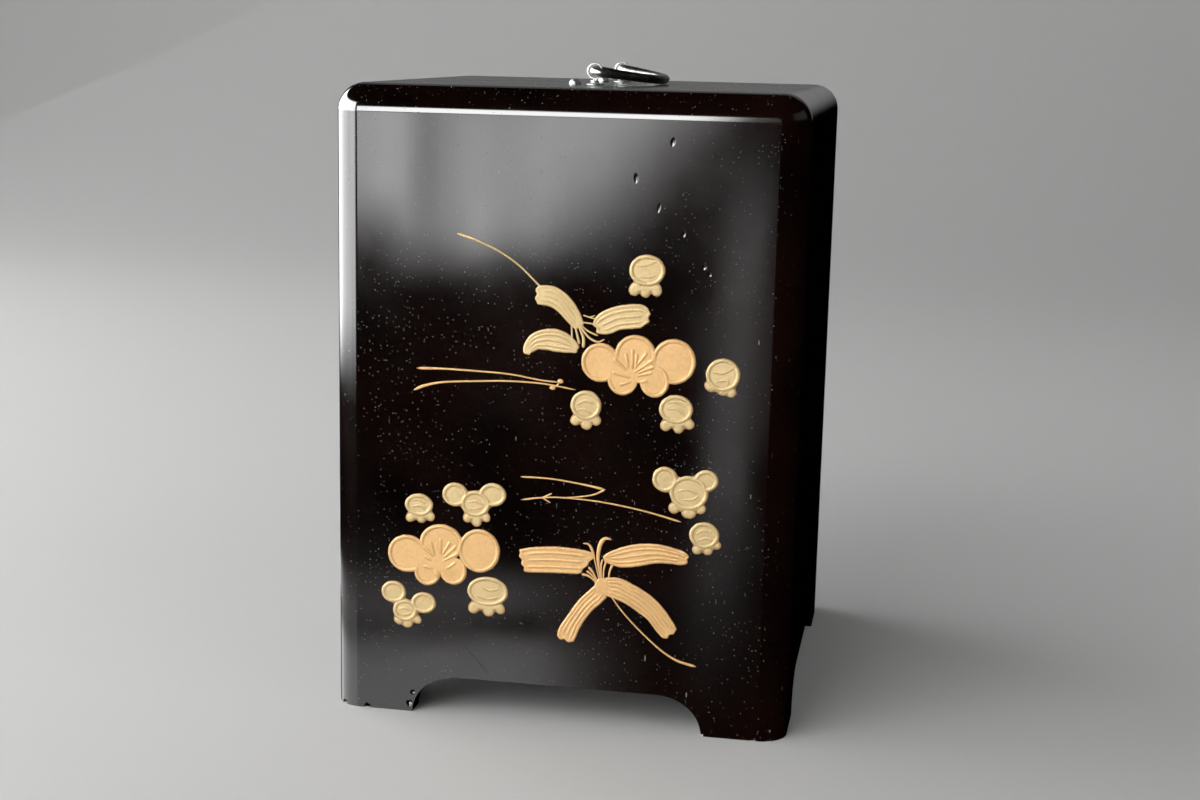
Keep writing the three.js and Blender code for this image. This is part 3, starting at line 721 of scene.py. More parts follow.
def emboss(bm, box, reach, relief, step=grid_step):
    """Lays a fine sheet over a motif, trims it along the outline and lifts it to its relief."""
    low_x, high_x, low_z, high_z = box
    sheet = bmesh.ops.create_grid(
        bm, x_segments=math.ceil((high_x - low_x) / step), y_segments=math.ceil((high_z - low_z) / step),
        size=1,
    )["verts"]
    extent = max(v.co.x for v in sheet)
    for vert in sheet:
        vert.co.x = low_x + (vert.co.x / extent + 1) / 2 * (high_x - low_x)
        vert.co.y = low_z + (vert.co.y / extent + 1) / 2 * (high_z - low_z)
    places = np.array([v.co[:2] for v in sheet])
    far = reach(places[:, 0], places[:, 1])
    far = np.where(np.abs(far) < 1e-3, -1e-3, far)
    outside = dict(zip(sheet, far))
    edges = {edge for vert in sheet for edge in vert.link_edges}
    faces = {face for vert in sheet for face in vert.link_faces}
    others = set(bm.faces) - faces
    crossed = [edge for edge in edges if outside[edge.verts[0]] * outside[edge.verts[1]] < 0]
    trim = []
    for edge in sorted(crossed, key=lambda e: e.index):
        start, end = edge.verts
        share = outside[start] / (outside[start] - outside[end])
        cut = bmesh.utils.edge_split(edge, start, share)[1]
        outside[cut] = 0
        trim.append(cut)
    bmesh.ops.connect_verts(bm, verts=trim)
    mine = [face for face in bm.faces if face not in others]
    waste = [face for face in mine if sum(outside[v] for v in face.verts) > 0]
    bmesh.ops.delete(bm, geom=waste, context="FACES")
    kept = [face for face in bm.faces if face not in others]
    points = list({vert for face in kept for vert in face.verts})
    places = np.array([v.co[:2] for v in points])
    heights = relief(places[:, 0], places[:, 1])
    # Painted shade: how hollow each point is, kept so that the gold can be toned darker there.
    hollows = hollow_shading(relief, places[:, 0], places[:, 1])
    shade_in_hollows = bm.verts.layers.float.get("shade_in_hollows")
    for vert, lift, hollow in zip(points, heights, hollows):
        vert.co.z = float(lift)
        vert[shade_in_hollows] = float(hollow)
    close_down(bm, kept)


def flower(name, petals, sepals, heart, ridges, finish):
    """One flower or bud: sepals under, then petals, each laid over the ones before it."""
    lobes = []
    head = petals[-1]
    for tip_x, tip_z, half in sepals:
        run = math.hypot(tip_x - head[0], tip_z - head[1])
        out_x, out_z = (tip_x - head[0]) / run, (tip_z - head[1]) / run
        start = 1 / math.hypot(out_x / head[2], out_z / head[3]) - 0.8
        middle, long = (start + run) / 2, (run - start) / 2
        lobes.append((
            head[0] + out_x * middle, head[1] + out_z * middle, long, half, math.atan2(out_z, out_x),
        ))

    hearts = [(heart[0], heart[1] - 0.6, 8.6, 3.4)] if heart else []
    softness = 0.5 if heart else 1.7
    if lobes:
        (x0, z0), (x1, z1) = lobes[0][:2], lobes[-1][:2]
        lobes.append((
            (x0 + x1) / 2, (z0 + z1) / 2 + 0.3, math.hypot(x1 - x0, z1 - z0) / 2 + 0.8, 1.5,
            math.atan2(z1 - z0, x1 - x0),
        ))

    def reach(x, z):
        wander = 0.11 * unevenness(x, z)
        heads = blend([oval_reach(x, z, shape) for shape in petals + hearts], softness)
        if lobes:
            heads = blend([heads, blend([oval_reach(x, z, shape) for shape in lobes], 0.9)], 1.3)
        return heads + wander

    def relief(x, z):
        height_here = np.full_like(x, edge_height)
        for shape in lobes:
            inward = -oval_reach(x, z, shape)
            lobe = edge_height + 0.23 * fade(inward, -0.1, 1.2)
            height_here = np.where(inward > -0.2, np.maximum(height_here, lobe), height_here)
        for shape in petals:
            inward = -oval_reach(x, z, shape)
            rim = fade(inward, 0.05, 0.5) * (1 - fade(inward, 1.1, 1.5))
            if heart:
                rim = rim * fade(np.hypot(x - heart[0], 1.25 * (z - heart[1])), 7.5, 12)
            petal = edge_height + (field_height - edge_height) * fade(inward, -0.1, 0.45)
            petal = petal + (rim_height - field_height) * rim
            under = height_here * (1 - 0.5 * fade(inward, 0.2, 1.2))
            height_here = np.where(inward > -0.2, np.maximum(petal, under), height_here)
            if not heart:
                height_here = height_here + 0.04 * fade(inward, 1.6, 4)
        for shape in hearts:
            inward = -oval_reach(x, z, shape)
            middle_field = edge_height + (field_height - edge_height) * fade(inward, -0.3, 0.6)
            height_here = np.maximum(height_here, middle_field)
        height_here = height_here + ridge_lift(x, z, ridges)
        return np.minimum(height_here + 0.012 * unevenness(2 * x, 2 * z), top_limit)

    shapes = petals + lobes
    span = [max(shape[2], shape[3]) + 0.6 for shape in shapes]
    low_x = min(shape[0] - r for shape, r in zip(shapes, span))
    high_x = max(shape[0] + r for shape, r in zip(shapes, span))
    low_z = min(shape[1] - r for shape, r in zip(shapes, span))
    high_z = max(shape[1] + r for shape, r in zip(shapes, span))
    bm = new_motif()
    emboss(bm, (low_x, high_x, low_z, high_z), reach, relief)
    gild(bm, name, finish)


def new_motif():
    """An empty mesh that keeps, at each point, the painted shade for the hollows of the relief."""
    bm = bmesh.new()
    bm.verts.layers.float.new("shade_in_hollows")
    return bm


def gild(bm, name, finish):
    """Stands a worked motif up on the flowered face."""
    bmesh.ops.recalc_face_normals(bm, faces=bm.faces)
    bmesh.ops.rotate(bm, verts=bm.verts, cent=Vector(), matrix=Matrix.Rotation(math.radians(90), 3, "X"))
    bmesh.ops.translate(bm, verts=bm.verts, vec=Vector((0, front, 0)))
    piece = settle(bm, name)
    piece.data.materials.append(finish)
    piece.data.polygons.foreach_set("use_smooth", [True] * len(piece.data.polygons))
    piece.data.set_sharp_from_angle(angle=math.radians(60))
    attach(piece, "box")
    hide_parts("gold_" + name)


def gold_finish(name, light, deep):
    """Gold powder in lacquer: satin and slightly clotted, with painted shade browning the hollows of the
    relief and its low edge.
    """
    material, tree, shader = finish_of(name, Metallic=0.06, Specular_IOR_Level=0.3)
    place = node(tree, "TexCoord").outputs["Object"]
    clots = node(tree, "TexNoise", Vector=place, Scale=900.0, Detail=4.0, Roughness=0.7).outputs["Fac"]
    broad = node(tree, "TexNoise", Vector=place, Scale=110.0, Detail=2.0).outputs["Fac"]
    mixed = node(tree, "Math", {"operation": "MULTIPLY_ADD"}, i0=broad, i1=0.5, i2=clots).outputs[0]
    clotted = node(tree, "MapRange", Value=mixed, i1=0.45, i2=1.05, i3=0.0, i4=1.0).outputs["Result"]
    lightest = tuple(min(1, 1.08 * c) for c in light)
    tone = ramp(tree, clotted, (0.0, deep), (0.55, light), (1.0, lightest))
    rise = node(tree, "SeparateXYZ", Vector=place).outputs["Y"]
    # Painted shade: the gold is toned browner where the relief sinks to its foot on the lacquer.
    low = node(
        tree, "MapRange", Value=rise, i1=(front - 0.08) * mm, i2=(front - 0.26) * mm, i3=1.0, i4=0.0
    ).outputs["Result"]
    # Painted shade: the gold is toned browner in the hollows of the relief.
    shade_in_hollows = node(tree, "Attribute", {"attribute_name": "shade_in_hollows"}).outputs["Fac"]
    hollow_shade_amount = node(tree, "Math", {"operation": "MULTIPLY"}, i0=shade_in_hollows, i1=0.5).outputs[0]
    tone_with_hollow_shade = node(tree, "Mix", {"data_type": "RGBA"}, i0=hollow_shade_amount, i6=tone, i7=(0.4, 0.2, 0.07, 1)).outputs[2]
    tone_with_foot_shade = node(tree, "Mix", {"data_type": "RGBA"}, i0=low, i6=tone_with_hollow_shade, i7=(0.3, 0.13, 0.045, 1)).outputs[2]
    tree.links.new(tone_with_foot_shade, shader.inputs["Base Color"])
    shine = node(tree, "MapRange", Value=clots, i1=0.3, i2=0.7, i3=0.42, i4=0.56).outputs["Result"]
    tree.links.new(shine, shader.inputs["Roughness"])
    grain = node(tree, "Bump", Strength=0.6, Distance=0.03 * mm, Height=clots).outputs[0]
    tree.links.new(grain, shader.inputs["Normal"])
    return material


warm_gold = gold_finish("warm_gold", (0.83, 0.5, 0.2), (0.72, 0.41, 0.15))
pale_gold = gold_finish("pale_gold", (0.72, 0.53, 0.25), (0.62, 0.44, 0.19))


def stamens(lines):
    """Raised strokes, each from its fat tip to its thin foot."""
    tip_half, foot_half, stroke_rise = 0.85, 0.35, 0.26
    return [(((*tip, tip_half), (*foot, foot_half)), stroke_rise) for tip, foot in lines]


flower(
    "blossom_upper",
    [(14.9, 141.1, 7.2, 7.3), (42, 142.8, 8.1, 8.4), (23.2, 135.3, 5.6, 6), (35.1, 135.1, 5.5, 6),
     (27.8, 144.6, 7.6, 7.4)],
    [], (27, 138.2),
    stamens([
        ((20.3, 142.3), (24.4, 139)), ((24.3, 144.5), (25.3, 140.1)), ((26.7, 146), (26.8, 139.6)),
        ((28.3, 144.5), (28, 140)), ((31.6, 145.1), (28.4, 140.7)), ((33.7, 142.7), (27.9, 138.4)),
        ((34.2, 140.4), (29.2, 138.2)), ((33.6, 138.2), (29.2, 137)), ((20, 137.7), (25.6, 136.2)),
        ((31.9, 135.2), (29.8, 134.6)), ((22.9, 133.5), (26.2, 134.5)),
    ]),
    warm_gold,
)
flower(
    "blossom_lower",
    [(-58.3, 63.3, 7.7, 7.4), (-30.2, 66.3, 8.1, 8.5), (-50.4, 56.6, 5.2, 5.4), (-40.2, 57.6, 5.3, 5.4),
     (-45, 68.3, 8.4, 7.4)],
    [], (-46.2, 61.2),
    stamens([
        ((-51.5, 66.3), (-48.2, 63.1)), ((-49.2, 68.4), (-47.6, 63.5)), ((-45.3, 69.5), (-45.1, 64.3)),
        ((-41.8, 68.5), (-44.2, 64.5)), ((-39.5, 67.3), (-43.8, 62.9)), ((-38.9, 64.4), (-43.9, 61.5)),
        ((-51.1, 62.6), (-49, 61.4)), ((-51.2, 58.8), (-48.4, 58.2)), ((-39.8, 60.8), (-42.5, 58.6)),
        ((-47, 56.6), (-46.1, 55.2)),
    ]),
    warm_gold,
)

# Buds. Each is a round closed flower of raised lacquer in paler gold, with a rim, two short
# curls drawn across it and three sepals at its foot.


def curve_points(points, steps):
    """Points evenly stepped along a smooth line through the given ones, whatever their size."""
    given_points = np.array(points, float)
    before_first = 2 * given_points[0] - given_points[1]
    after_last = 2 * given_points[-1] - given_points[-2]
    padded = np.vstack([before_first, given_points, after_last])
    fine = []
    for k in range(len(given_points) - 1):
        a, b, c, d = padded[k:k + 4]
        for t in np.linspace(0, 1, 40, endpoint=False):
            fine.append(0.5 * (
                2 * b + (c - a) * t + (2 * a - 5 * b + 4 * c - d) * t**2 + (3 * b - a - 3 * c + d) * t**3
            ))
    fine.append(given_points[-1])
    fine = np.array(fine)
    run = np.concatenate([[0], np.cumsum(np.hypot(*np.diff(fine[:, :2], axis=0).T))])
    places = np.linspace(0, run[-1], steps)
    return np.array([np.interp(places, run, fine[:, k]) for k in range(fine.shape[1])]).T


def curls(head, upper, lower):
    """Two wavy ridges on a bud's head, given as shares of its radii."""
    curl_rise = 0.17
    placed = [
        [(head[0] + a * head[2], head[1] + b * head[3], w) for a, b, w in run] for run in (upper, lower)
    ]
    return [(tuple(tuple(point) for point in curve_points(run, 9)), curl_rise) for run in placed]


buds = {
    "bud_upper_top": (
        (31.3, 175.7, 6.6, 5.8), [(25.6, 166.5, 2.2), (30.7, 165.8, 2.1), (35.8, 166.6, 2.1)],
        [(-0.55, 0.3, 0.4), (0, 0.36, 0.6), (0.45, 0.6, 0.5)],
        [(-0.35, -0.42, 0.4), (0.1, -0.4, 0.5), (0.5, -0.25, 0.5)],
    ),
    "bud_upper_right": (
        (60.1, 138.9, 6.3, 6.1), [(54.2, 133.2, 2.2), (60.6, 131.3, 2), (64.1, 130.9, 1.9)],
        [(-0.5, 0.15, 0.4), (0, 0.1, 0.6), (0.55, 0.42, 0.5)],
        [(-0.35, -0.4, 0.4), (0.25, -0.32, 0.6), (0.3, -0.6, 0.4)],
    ),
    "bud_upper_left": (
        (9.8, 124.8, 5.8, 5.6), [(4.8, 117.3, 1.9), (10.2, 115.6, 2.2), (14.8, 117.7, 1.9)],
        [(-0.55, 0.05, 0.4), (-0.1, 0.3, 0.6), (0.5, 0.2, 0.5)],
        [(-0.5, -0.3, 0.4), (-0.1, -0.25, 0.5), (0.3, -0.5, 0.4)],
    ),
    "bud_upper_middle": (
        (43.3, 125.2, 6.3, 5.4), [(38.6, 117.1, 2.1), (44.7, 116.3, 2), (49.6, 118.4, 1.9)],
        [(-0.5, 0.42, 0.4), (0, 0.5, 0.5), (0.5, 0.3, 0.5)],
        [(-0.45, 0, 0.4), (0.05, 0.05, 0.6), (0.45, -0.3, 0.5)],
    ),
    "bud_lower_left": (
        (-53.8, 82.7, 5.5, 4.4), [(-58.2, 76, 1.8), (-52.6, 75.7, 1.7), (-48.1, 77.1, 1.8)],
        [(-0.5, 0.35, 0.35), (0, 0.5, 0.5), (0.5, 0.2, 0.4)],
        [(-0.4, -0.15, 0.4), (0.1, -0.05, 0.5), (0.4, -0.3, 0.4)],
    ),
    "bud_lower_middle": (
        (-26.7, 50.6, 8, 5.8), [(-33.6, 41.9, 2.2), (-26.2, 40.7, 2.3), (-20.6, 42.3, 2)],
        [(-0.2, 0.3, 0.4), (0.1, 0.1, 0.6), (0.5, 0.2, 0.5)],
        [(-0.45, -0.35, 0.4), (0, -0.5, 0.6), (0.5, -0.35, 0.5)],
    ),
    "bud_lower_right": (
        (55.2, 78.4, 5.6, 5.1), [(51.9, 71.1, 1.8), (57.1, 71, 1.8), (61.3, 74, 1.5)],
        [(-0.5, 0.1, 0.4), (-0.1, 0.35, 0.5), (0.4, 0.3, 0.4)],
        [(-0.3, -0.35, 0.4), (0.1, -0.2, 0.5), (0.45, -0.35, 0.4)],
    ),
}
for bud_name, (head, sepals, upper, lower) in buds.items():
    flower(bud_name, [head], sepals, None, curls(head, upper, lower), pale_gold)

# Half-open flowers. Two petals spread above a round head with three sepals. They are built up
# and powdered with the same pale gold as the buds.
half_open = {
    "half_flower_left": (
        [(-63.7, 47.7, 4.9, 4.4), (-51.8, 44.2, 4.9, 4.2), (-59.1, 40.7, 4.9, 4.4)],
        [(-62.6, 35.1, 2), (-57.9, 33.7, 2.1), (-52.9, 36.2, 1.6)],
    ),
    "half_flower_middle": (
        [(-39.7, 87.7, 5, 4.6), (-25.1, 88.5, 5.2, 4.5), (-31.8, 84.6, 5.7, 5.1)],
        [(-35.7, 77.3, 1.8), (-31.1, 75.6, 2), (-26.6, 78, 1.7)],
    ),
    "half_flower_right": (
        [(40, 98.7, 4.8, 4.8), (55.3, 99.1, 4.5, 4.1), (49, 94.1, 7.2, 6.5)],
        [(42.2, 86.5, 2.1), (49.3, 84.4, 2.7), (54.7, 86.9, 2)],
    ),
}
for flower_name, (petals, sepals) in half_open.items():
    head = petals[-1]
    marks = curls(
        head, [(-0.5, 0.1, 0.4), (0, 0.2, 0.5), (0.45, 0, 0.4)],
        [(-0.3, -0.4, 0.4), (0.2, -0.35, 0.5), (0.5, -0.1, 0.4)],
    )
    if flower_name == "half_flower_right":
        marks = marks + [(((50.1, 93.9, 1.6), (50.5, 93.8, 1.6)), -0.3)]
    flower(flower_name, petals, sepals, None, marks, pale_gold)

# Sprays of blades. Long leaves of raised lacquer with rounded ends and ribs spring from one
# root, among hair-fine stalks and a long stem, all powdered with gold.
blade_height = 0.36


def trimmed(across, cut):
    """How far a slanted cut eats into a leaf's end: its slope, and the side and place it starts at."""
    slope, start = cut
    return abs(slope) * np.maximum(0, np.sign(slope) * across - start)


def blade(bm, spine, widths, ribs, cuts=((0, 0), (0, 0))):
    """One leaf, from its centre line and its width at each point of it."""
    line = curve_points([(*place, width_here / 2) for place, width_here in zip(spine, widths)], 90)
    tangent = np.gradient(line[:, :2], axis=0)
    tangent /= np.hypot(tangent[:, 0], tangent[:, 1])[:, None]
    run = np.concatenate([[0], np.cumsum(np.hypot(*np.diff(line[:, :2], axis=0).T))])
    corner = 1.1

    def measure(x, z):
        off_x, off_z = x[:, None] - line[:, 0], z[:, None] - line[:, 1]
        at = np.argmin(off_x**2 + off_z**2, axis=1)
        pick = np.arange(len(x))
        off_x, off_z = off_x[pick, at], off_z[pick, at]
        across = off_x * tangent[at, 1] - off_z * tangent[at, 0]
        beyond = off_x * tangent[at, 0] + off_z * tangent[at, 1]
        nibbled = 0.3 * np.sin(2.1 * across + 1)
        end = np.maximum(
            -run[at] - beyond + trimmed(across, cuts[0]),
            run[at] + beyond - run[-1] + trimmed(across, cuts[1]),
        ) + nibbled
        side_x, side_z = np.abs(across) - line[at, 2] + corner, end + corner
        outside = np.hypot(np.maximum(side_x, 0), np.maximum(side_z, 0))
        off = outside + np.minimum(np.maximum(side_x, side_z), 0) - corner
        return at, across, end, off

    def reach(x, z):
        return measure(x, z)[3] + 0.11 * unevenness(x, z)

    def relief(x, z):
        at, across, end, off = measure(x, z)
        lift = edge_height + (blade_height - 0.16) * fade(-off, -0.1, 0.5)
        lift = lift + 0.1 * fade(-off, 0.05, 0.4) * (1 - fade(-off, 0.8, 1.2))
        inner = np.maximum(line[at, 2] - 1.1, 0.2)
        for rib in range(ribs):
            offset = 0 if ribs == 1 else (2 * rib / (ribs - 1) - 1) * (1 - 1 / ribs)
            drawn = fade(-np.abs(across - offset * inner), -0.55, -0.1)
            start = 1.4 + 0.9 * ((rib * 7) % 3)
            lift = lift + 0.16 * drawn * fade(-end, start, start + 1.2) * fade(inner, 0.6, 1.4)
        return lift + 0.012 * unevenness(2 * x, 2 * z)

    reach_x = (line[:, 0] - line[:, 2]).min() - 0.6, (line[:, 0] + line[:, 2]).max() + 0.6
    reach_z = (line[:, 1] - line[:, 2]).min() - 0.6, (line[:, 1] + line[:, 2]).max() + 0.6
    emboss(bm, (*reach_x, *reach_z), reach, relief)


def dot(bm, x, z, rx, rz):
    """A small raised blob."""
    shape = (x, z, rx, rz)
    emboss(
        bm, (x - rx - 0.4, x + rx + 0.4, z - rz - 0.4, z + rz + 0.4),
        lambda at_x, at_z: oval_reach(at_x, at_z, shape) + 0.08 * unevenness(2 * at_x, 2 * at_z),
        lambda at_x, at_z: edge_height + 0.28 * fade(-oval_reach(at_x, at_z, shape), -0.1, 0.6), 0.2,
    )


def stroke(bm, points, widths=(0.7, 0.6), top=0.34):
    """A fine raised line, half round, that swells and tapers along its length."""
    side_height = 0.08
    steps = max(8, 6 * len(points))
    width_at = np.interp(np.linspace(0, 1, steps + 1), np.linspace(0, 1, len(widths)), widths)
    line = curve_points(points, steps + 1)
    tangent = np.gradient(line, axis=0)
    tangent /= np.hypot(tangent[:, 0], tangent[:, 1])[:, None]
    before = set(bm.faces)
    sheet = bmesh.ops.create_grid(bm, x_segments=steps, y_segments=6, size=1)["verts"]
    extent = max(v.co.x for v in sheet)
    for vert in sheet:
        step = round((vert.co.x / extent + 1) / 2 * steps)
        across = vert.co.y / extent
        end_round = min(1, (0.35 + step) / 1.5, (0.35 + steps - step) / 1.5)
        half = width_at[step] / 2 * end_round
        vert.co.x = line[step, 0] - tangent[step, 1] * across * half
        vert.co.y = line[step, 1] + tangent[step, 0] * across * half
        vert.co.z = side_height + (top - side_height) * math.sqrt(max(0, 1 - across**2)) * end_round
    close_down(bm, [face for face in bm.faces if face not in before])


upper = new_motif()
blade(upper, [(6.8, 153.9), (3.9, 158.2), (0.4, 162.2), (-4, 164.7), (-9.7, 165)],
      [4.3, 6.3, 7.1, 7.7, 7], 3)
blade(upper, [(6.5, 145.1), (3.5, 146.8), (-0.8, 148.2), (-5.4, 148.6), (-9.7, 147.5), (-12.3, 144.5),
              (-12.6, 142.4)],
      [2.6, 6, 8.3, 8, 6.3, 4, 2], 3)
blade(upper, [(12.6, 153.8), (16.2, 155.6), (20.6, 157.7), (25.7, 158.6), (29.7, 159), (32.6, 158.7)],
      [5.2, 8.5, 8.8, 9.1, 8.5, 4.6], 3)
stroke(upper, [(-39.7, 186.4), (-31.4, 183.8), (-22.7, 179.8), (-15.5, 175), (-6.4, 166.4)],
       (1.3, 0.85, 0.75, 0.7, 0.75))
stroke(upper, [(8, 158.3), (11.9, 157.3), (14, 157.1)], (0.6, 0.6))
stroke(upper, [(10.6, 157.7), (12.6, 158.4)], (0.5, 0.35))
stroke(upper, [(7.4, 155.7), (13.8, 155.1)], (0.6, 0.6))
stroke(upper, [(7, 154.9), (10, 152.5), (13.8, 151)], (0.6, 0.8))
stroke(upper, [(6.6, 154.8), (10, 150.5), (13.5, 148.7), (16.3, 149.8)], (0.7, 0.8, 0.9, 0.5))
stroke(upper, [(3.7, 155.6), (4, 151.4), (4, 148.6)], (0.6, 0.8))
stroke(upper, [(5, 154.8), (6, 150.9), (6.9, 147.5)], (0.7, 0.9, 1.1))
stroke(upper, [(6.3, 154.6), (8.3, 149.9), (8.3, 146.2)], (0.8, 1.1, 1.3))
gild(upper, "spray_upper", pale_gold)

lower = new_motif()
blade(lower, [(14.1, 65), (9, 64.9), (3, 65), (-2, 64.9), (-8.4, 64.4), (-14.2, 63.6)],
      [7.8, 9.6, 10.2, 10.3, 10, 8.8], 3, ((-0.8, -2), (-0.16, -2)))
blade(lower, [(17.4, 66.6), (20.2, 67.1), (24.2, 67.6), (30, 68.9), (36.9, 70.1), (42.7, 69.8),
              (47.2, 69.1), (49.6, 68.8)],
      [2.1, 5, 7.6, 8.6, 7.6, 6.5, 5.5, 3.4], 3)
blade(lower, [(17.6, 54.6), (14.4, 51.4), (11.5, 48.4), (8.7, 44.5), (6, 40), (4.4, 36.5), (3.5, 33.6)],
      [6.3, 6.7, 6.6, 6.5, 6.8, 7.4, 6.6], 3)
blade(lower, [(17.8, 55.9), (22.9, 55.6), (28.3, 53.5), (33.2, 50.6), (37.5, 47.2), (40.8, 43), (43.9, 39)],
      [6.8, 8.4, 8.2, 8.4, 7.8, 7.6, 6.6], 4)
dot(lower, 17.3, 55.7, 2.9, 3.7)
stroke(lower, [(20.4, 53), (25.3, 46.7), (30.7, 41.1), (36.2, 36.1), (41.7, 31.8), (47.1, 29), (53.8, 27.4)],
       (0.6, 0.65, 0.7, 0.85, 1.2))
stroke(lower, [(17, 57.5), (15.9, 63.5), (15.6, 67.9), (16.4, 72.3), (18.2, 74.6), (20.6, 74.3)],
       (0.7, 0.9, 1.2, 1.6, 1.7, 0.6))
stroke(lower, [(16.4, 57.5), (14.7, 64.5), (13.5, 69.3), (11.9, 71.9), (9.7, 72.1)],
       (0.5, 0.5, 0.6, 1.2, 0.5))
stroke(lower, [(16, 57), (13.7, 61.2), (12, 63.2)], (0.5, 0.8, 1.1))
stroke(lower, [(15.8, 56.8), (13.4, 60), (11.3, 61.6)], (0.5, 0.7, 1))
stroke(lower, [(15.6, 56.6), (12.6, 59.4), (9.4, 60.2)], (0.5, 0.8, 1.1))
stroke(lower, [(17.2, 58), (16.8, 63.6), (17.3, 66.6)], (0.5, 0.7, 0.8))
stroke(lower, [(17.8, 58), (17.9, 62.6), (18.9, 66.4)], (0.5, 0.7, 0.9))
stroke(lower, [(19.7, 58.6), (20.2, 62.2), (21.2, 64.8)], (0.5, 0.8, 1.1))
gild(lower, "spray_lower", warm_gold)

# Fine stems. Single lines drawn with a hair brush in lacquer, which start fat and run out thin,
# and are powdered with gold like the rest.
line_up = new_motif()
stroke(line_up, [(-54.8, 135.3), (-43.2, 135.6), (-31.7, 135.4), (-19.1, 134.9), (-7.5, 133.3),
                 (-0.2, 132.9)],
       (1.2, 0.8, 0.75, 0.7, 0.65, 0.7))
dot(line_up, 0, 133.3, 1.15, 0.9)
gild(line_up, "stem_upper", warm_gold)
line_down = new_motif()
stroke(line_down, [(-55.9, 126.9), (-51.3, 129), (-43.9, 130.6), (-31.7, 131.6), (-19.1, 132.3),
                   (-6.3, 132), (5.8, 130.4)],
       (1.3, 0.85, 0.75, 0.7, 0.7, 0.65, 0.6))
stroke(line_down, [(-0.6, 132.5), (-1.4, 131.6), (-2.4, 130.9)], (0.6, 0.6))
dot(line_down, -2.9, 130.7, 1.2, 0.8)
gild(line_down, "stem_lower", warm_gold)
fork = new_motif()
stroke(fork, [(-14.2, 87.3), (-6.1, 88.7), (1.9, 89.2), (16.3, 88.5), (32.2, 86.2), (46.5, 82.9)],
       (0.8, 0.6, 0.6, 0.65, 0.7, 0.9))
stroke(fork, [(-14.6, 96.2), (-2.5, 96.1), (10.3, 94.6), (17.8, 93.3)], (0.8, 0.65, 0.7, 1.1))
stroke(fork, [(17.6, 93.3), (13.6, 91.2), (8.3, 90), (1.4, 89.1)], (0.9, 0.6, 0.6, 0.6))
stroke(fork, [(-6.4, 88.4), (-2.4, 90.6)], (0.8, 0.5))
stroke(fork, [(-6.2, 88.8), (-2.9, 86.9)], (0.7, 0.5))
gild(fork, "stem_fork", warm_gold)

# Stage. A plain pale floor sweeps up behind into a soft grey backdrop, and the light comes
# from two large soft panels on the left, with a weak fill from the right.
sweep_length, half_wide, before_box, flat, bend = 7, 4, 2.4, 3.6, 0.8
sweep = bmesh.new()
bmesh.ops.create_grid(sweep, x_segments=2, y_segments=60, size=1)
for vert in sweep.verts:
    run = (vert.co.y + 1) / 2 * sweep_length
    if run <= flat:
        y, z = run - before_box, 0.0
    elif run <= flat + bend * math.pi / 2:
        turn = (run - flat) / bend
        y, z = flat - before_box + bend * math.sin(turn), bend * (1 - math.cos(turn))
    else:
        y, z = flat - before_box + bend, bend + (run - flat - bend * math.pi / 2)
    vert.co = Vector((vert.co.x * half_wide, y, z))
bmesh.ops.recalc_face_normals(sweep, faces=sweep.faces)
floor = settle(sweep, "floor", scale=1)
floor.data.polygons.foreach_set("use_smooth", [True] * len(floor.data.polygons))
paper, tree, shader = finish_of("pale_paper", Roughness=0.9)
shader.inputs["Base Color"].default_value = (0.6, 0.595, 0.58, 1)
floor.data.materials.append(paper)


def panel_light(name, azimuth, elevation, distance, wide, tall, radiance, tint=(1, 1, 1)):
    """A flat soft panel that lights the box from an azimuth left of the front."""
    lamp = bpy.data.lights.new(name, "AREA")
    lamp.shape = "RECTANGLE"
    lamp.size, lamp.size_y = wide, tall
    lamp.energy = radiance * wide * tall * math.pi
    lamp.color = tint
    holder = bpy.data.objects.new(name, lamp)
    turn, rise = math.radians(azimuth), math.radians(elevation)
    away = Vector((-math.sin(turn) * math.cos(rise), -math.cos(turn) * math.cos(rise), math.sin(rise)))
    holder.location = Vector((0, 0, 0.2)) + away * distance
    holder.rotation_euler = away.to_track_quat("Z", "Y").to_euler()
    holder.visible_camera = False
    holder.visible_glossy = False
    scene.collection.objects.link(holder)


panel_light("front_window", 32, 28, 1.9, 1.8, 1.4, 2.8, (0.98, 0.99, 1))
panel_light("side_window", 100, 34, 1.9, 1.6, 1.4, 1.4, (0.96, 0.98, 1))
panel_light("right_fill", -60, 40, 2.2, 1.6, 1.4, 0.85)

sky = bpy.data.worlds.new("room")
sky.use_nodes = True
sky.node_tree.nodes["Background"].inputs["Color"].default_value = (0.85, 0.87, 0.9, 1)
sky.node_tree.nodes["Background"].inputs["Strength"].default_value = 0.16
sky.cycles_visibility.glossy = False
scene.world = sky
floor.visible_glossy = False

# What the polish mirrors: a ring of soft panels round the box. They are brightest at the left,
# dimmer and folded lower down, and faint elsewhere.
ring_reach, ring_foot, ring_height = 2, -1.1, 3.2
ring = bmesh.new()
hoop = bmesh.ops.create_circle(ring, segments=96, radius=ring_reach)["verts"]
bmesh.ops.translate(ring, verts=hoop, vec=Vector((0, 0, ring_foot)))
lifted = bmesh.ops.extrude_edge_only(ring, edges=ring.edges[:])["geom"]
upper_rim = [v for v in lifted if isinstance(v, bmesh.types.BMVert)]
bmesh.ops.translate(ring, verts=upper_rim, vec=Vector((0, 0, ring_height)))
surround = settle(ring, "surround", scale=1)
glow, tree, shader = finish_of("soft_panels", Roughness=1.0, Emission_Strength=1.0)
shader.inputs["Base Color"].default_value = (0, 0, 0, 1)
shader.inputs["Specular IOR Level"].default_value = 0
place = node(tree, "TexCoord").outputs["Object"]
axes = node(tree, "SeparateXYZ", Vector=place)
back_to_front = node(tree, "Math", {"operation": "MULTIPLY"}, i0=axes.outputs["Y"], i1=-1.0).outputs[0]
bearing = node(tree, "Math", {"operation": "ARCTAN2"}, i0=axes.outputs["X"], i1=back_to_front).outputs[0]
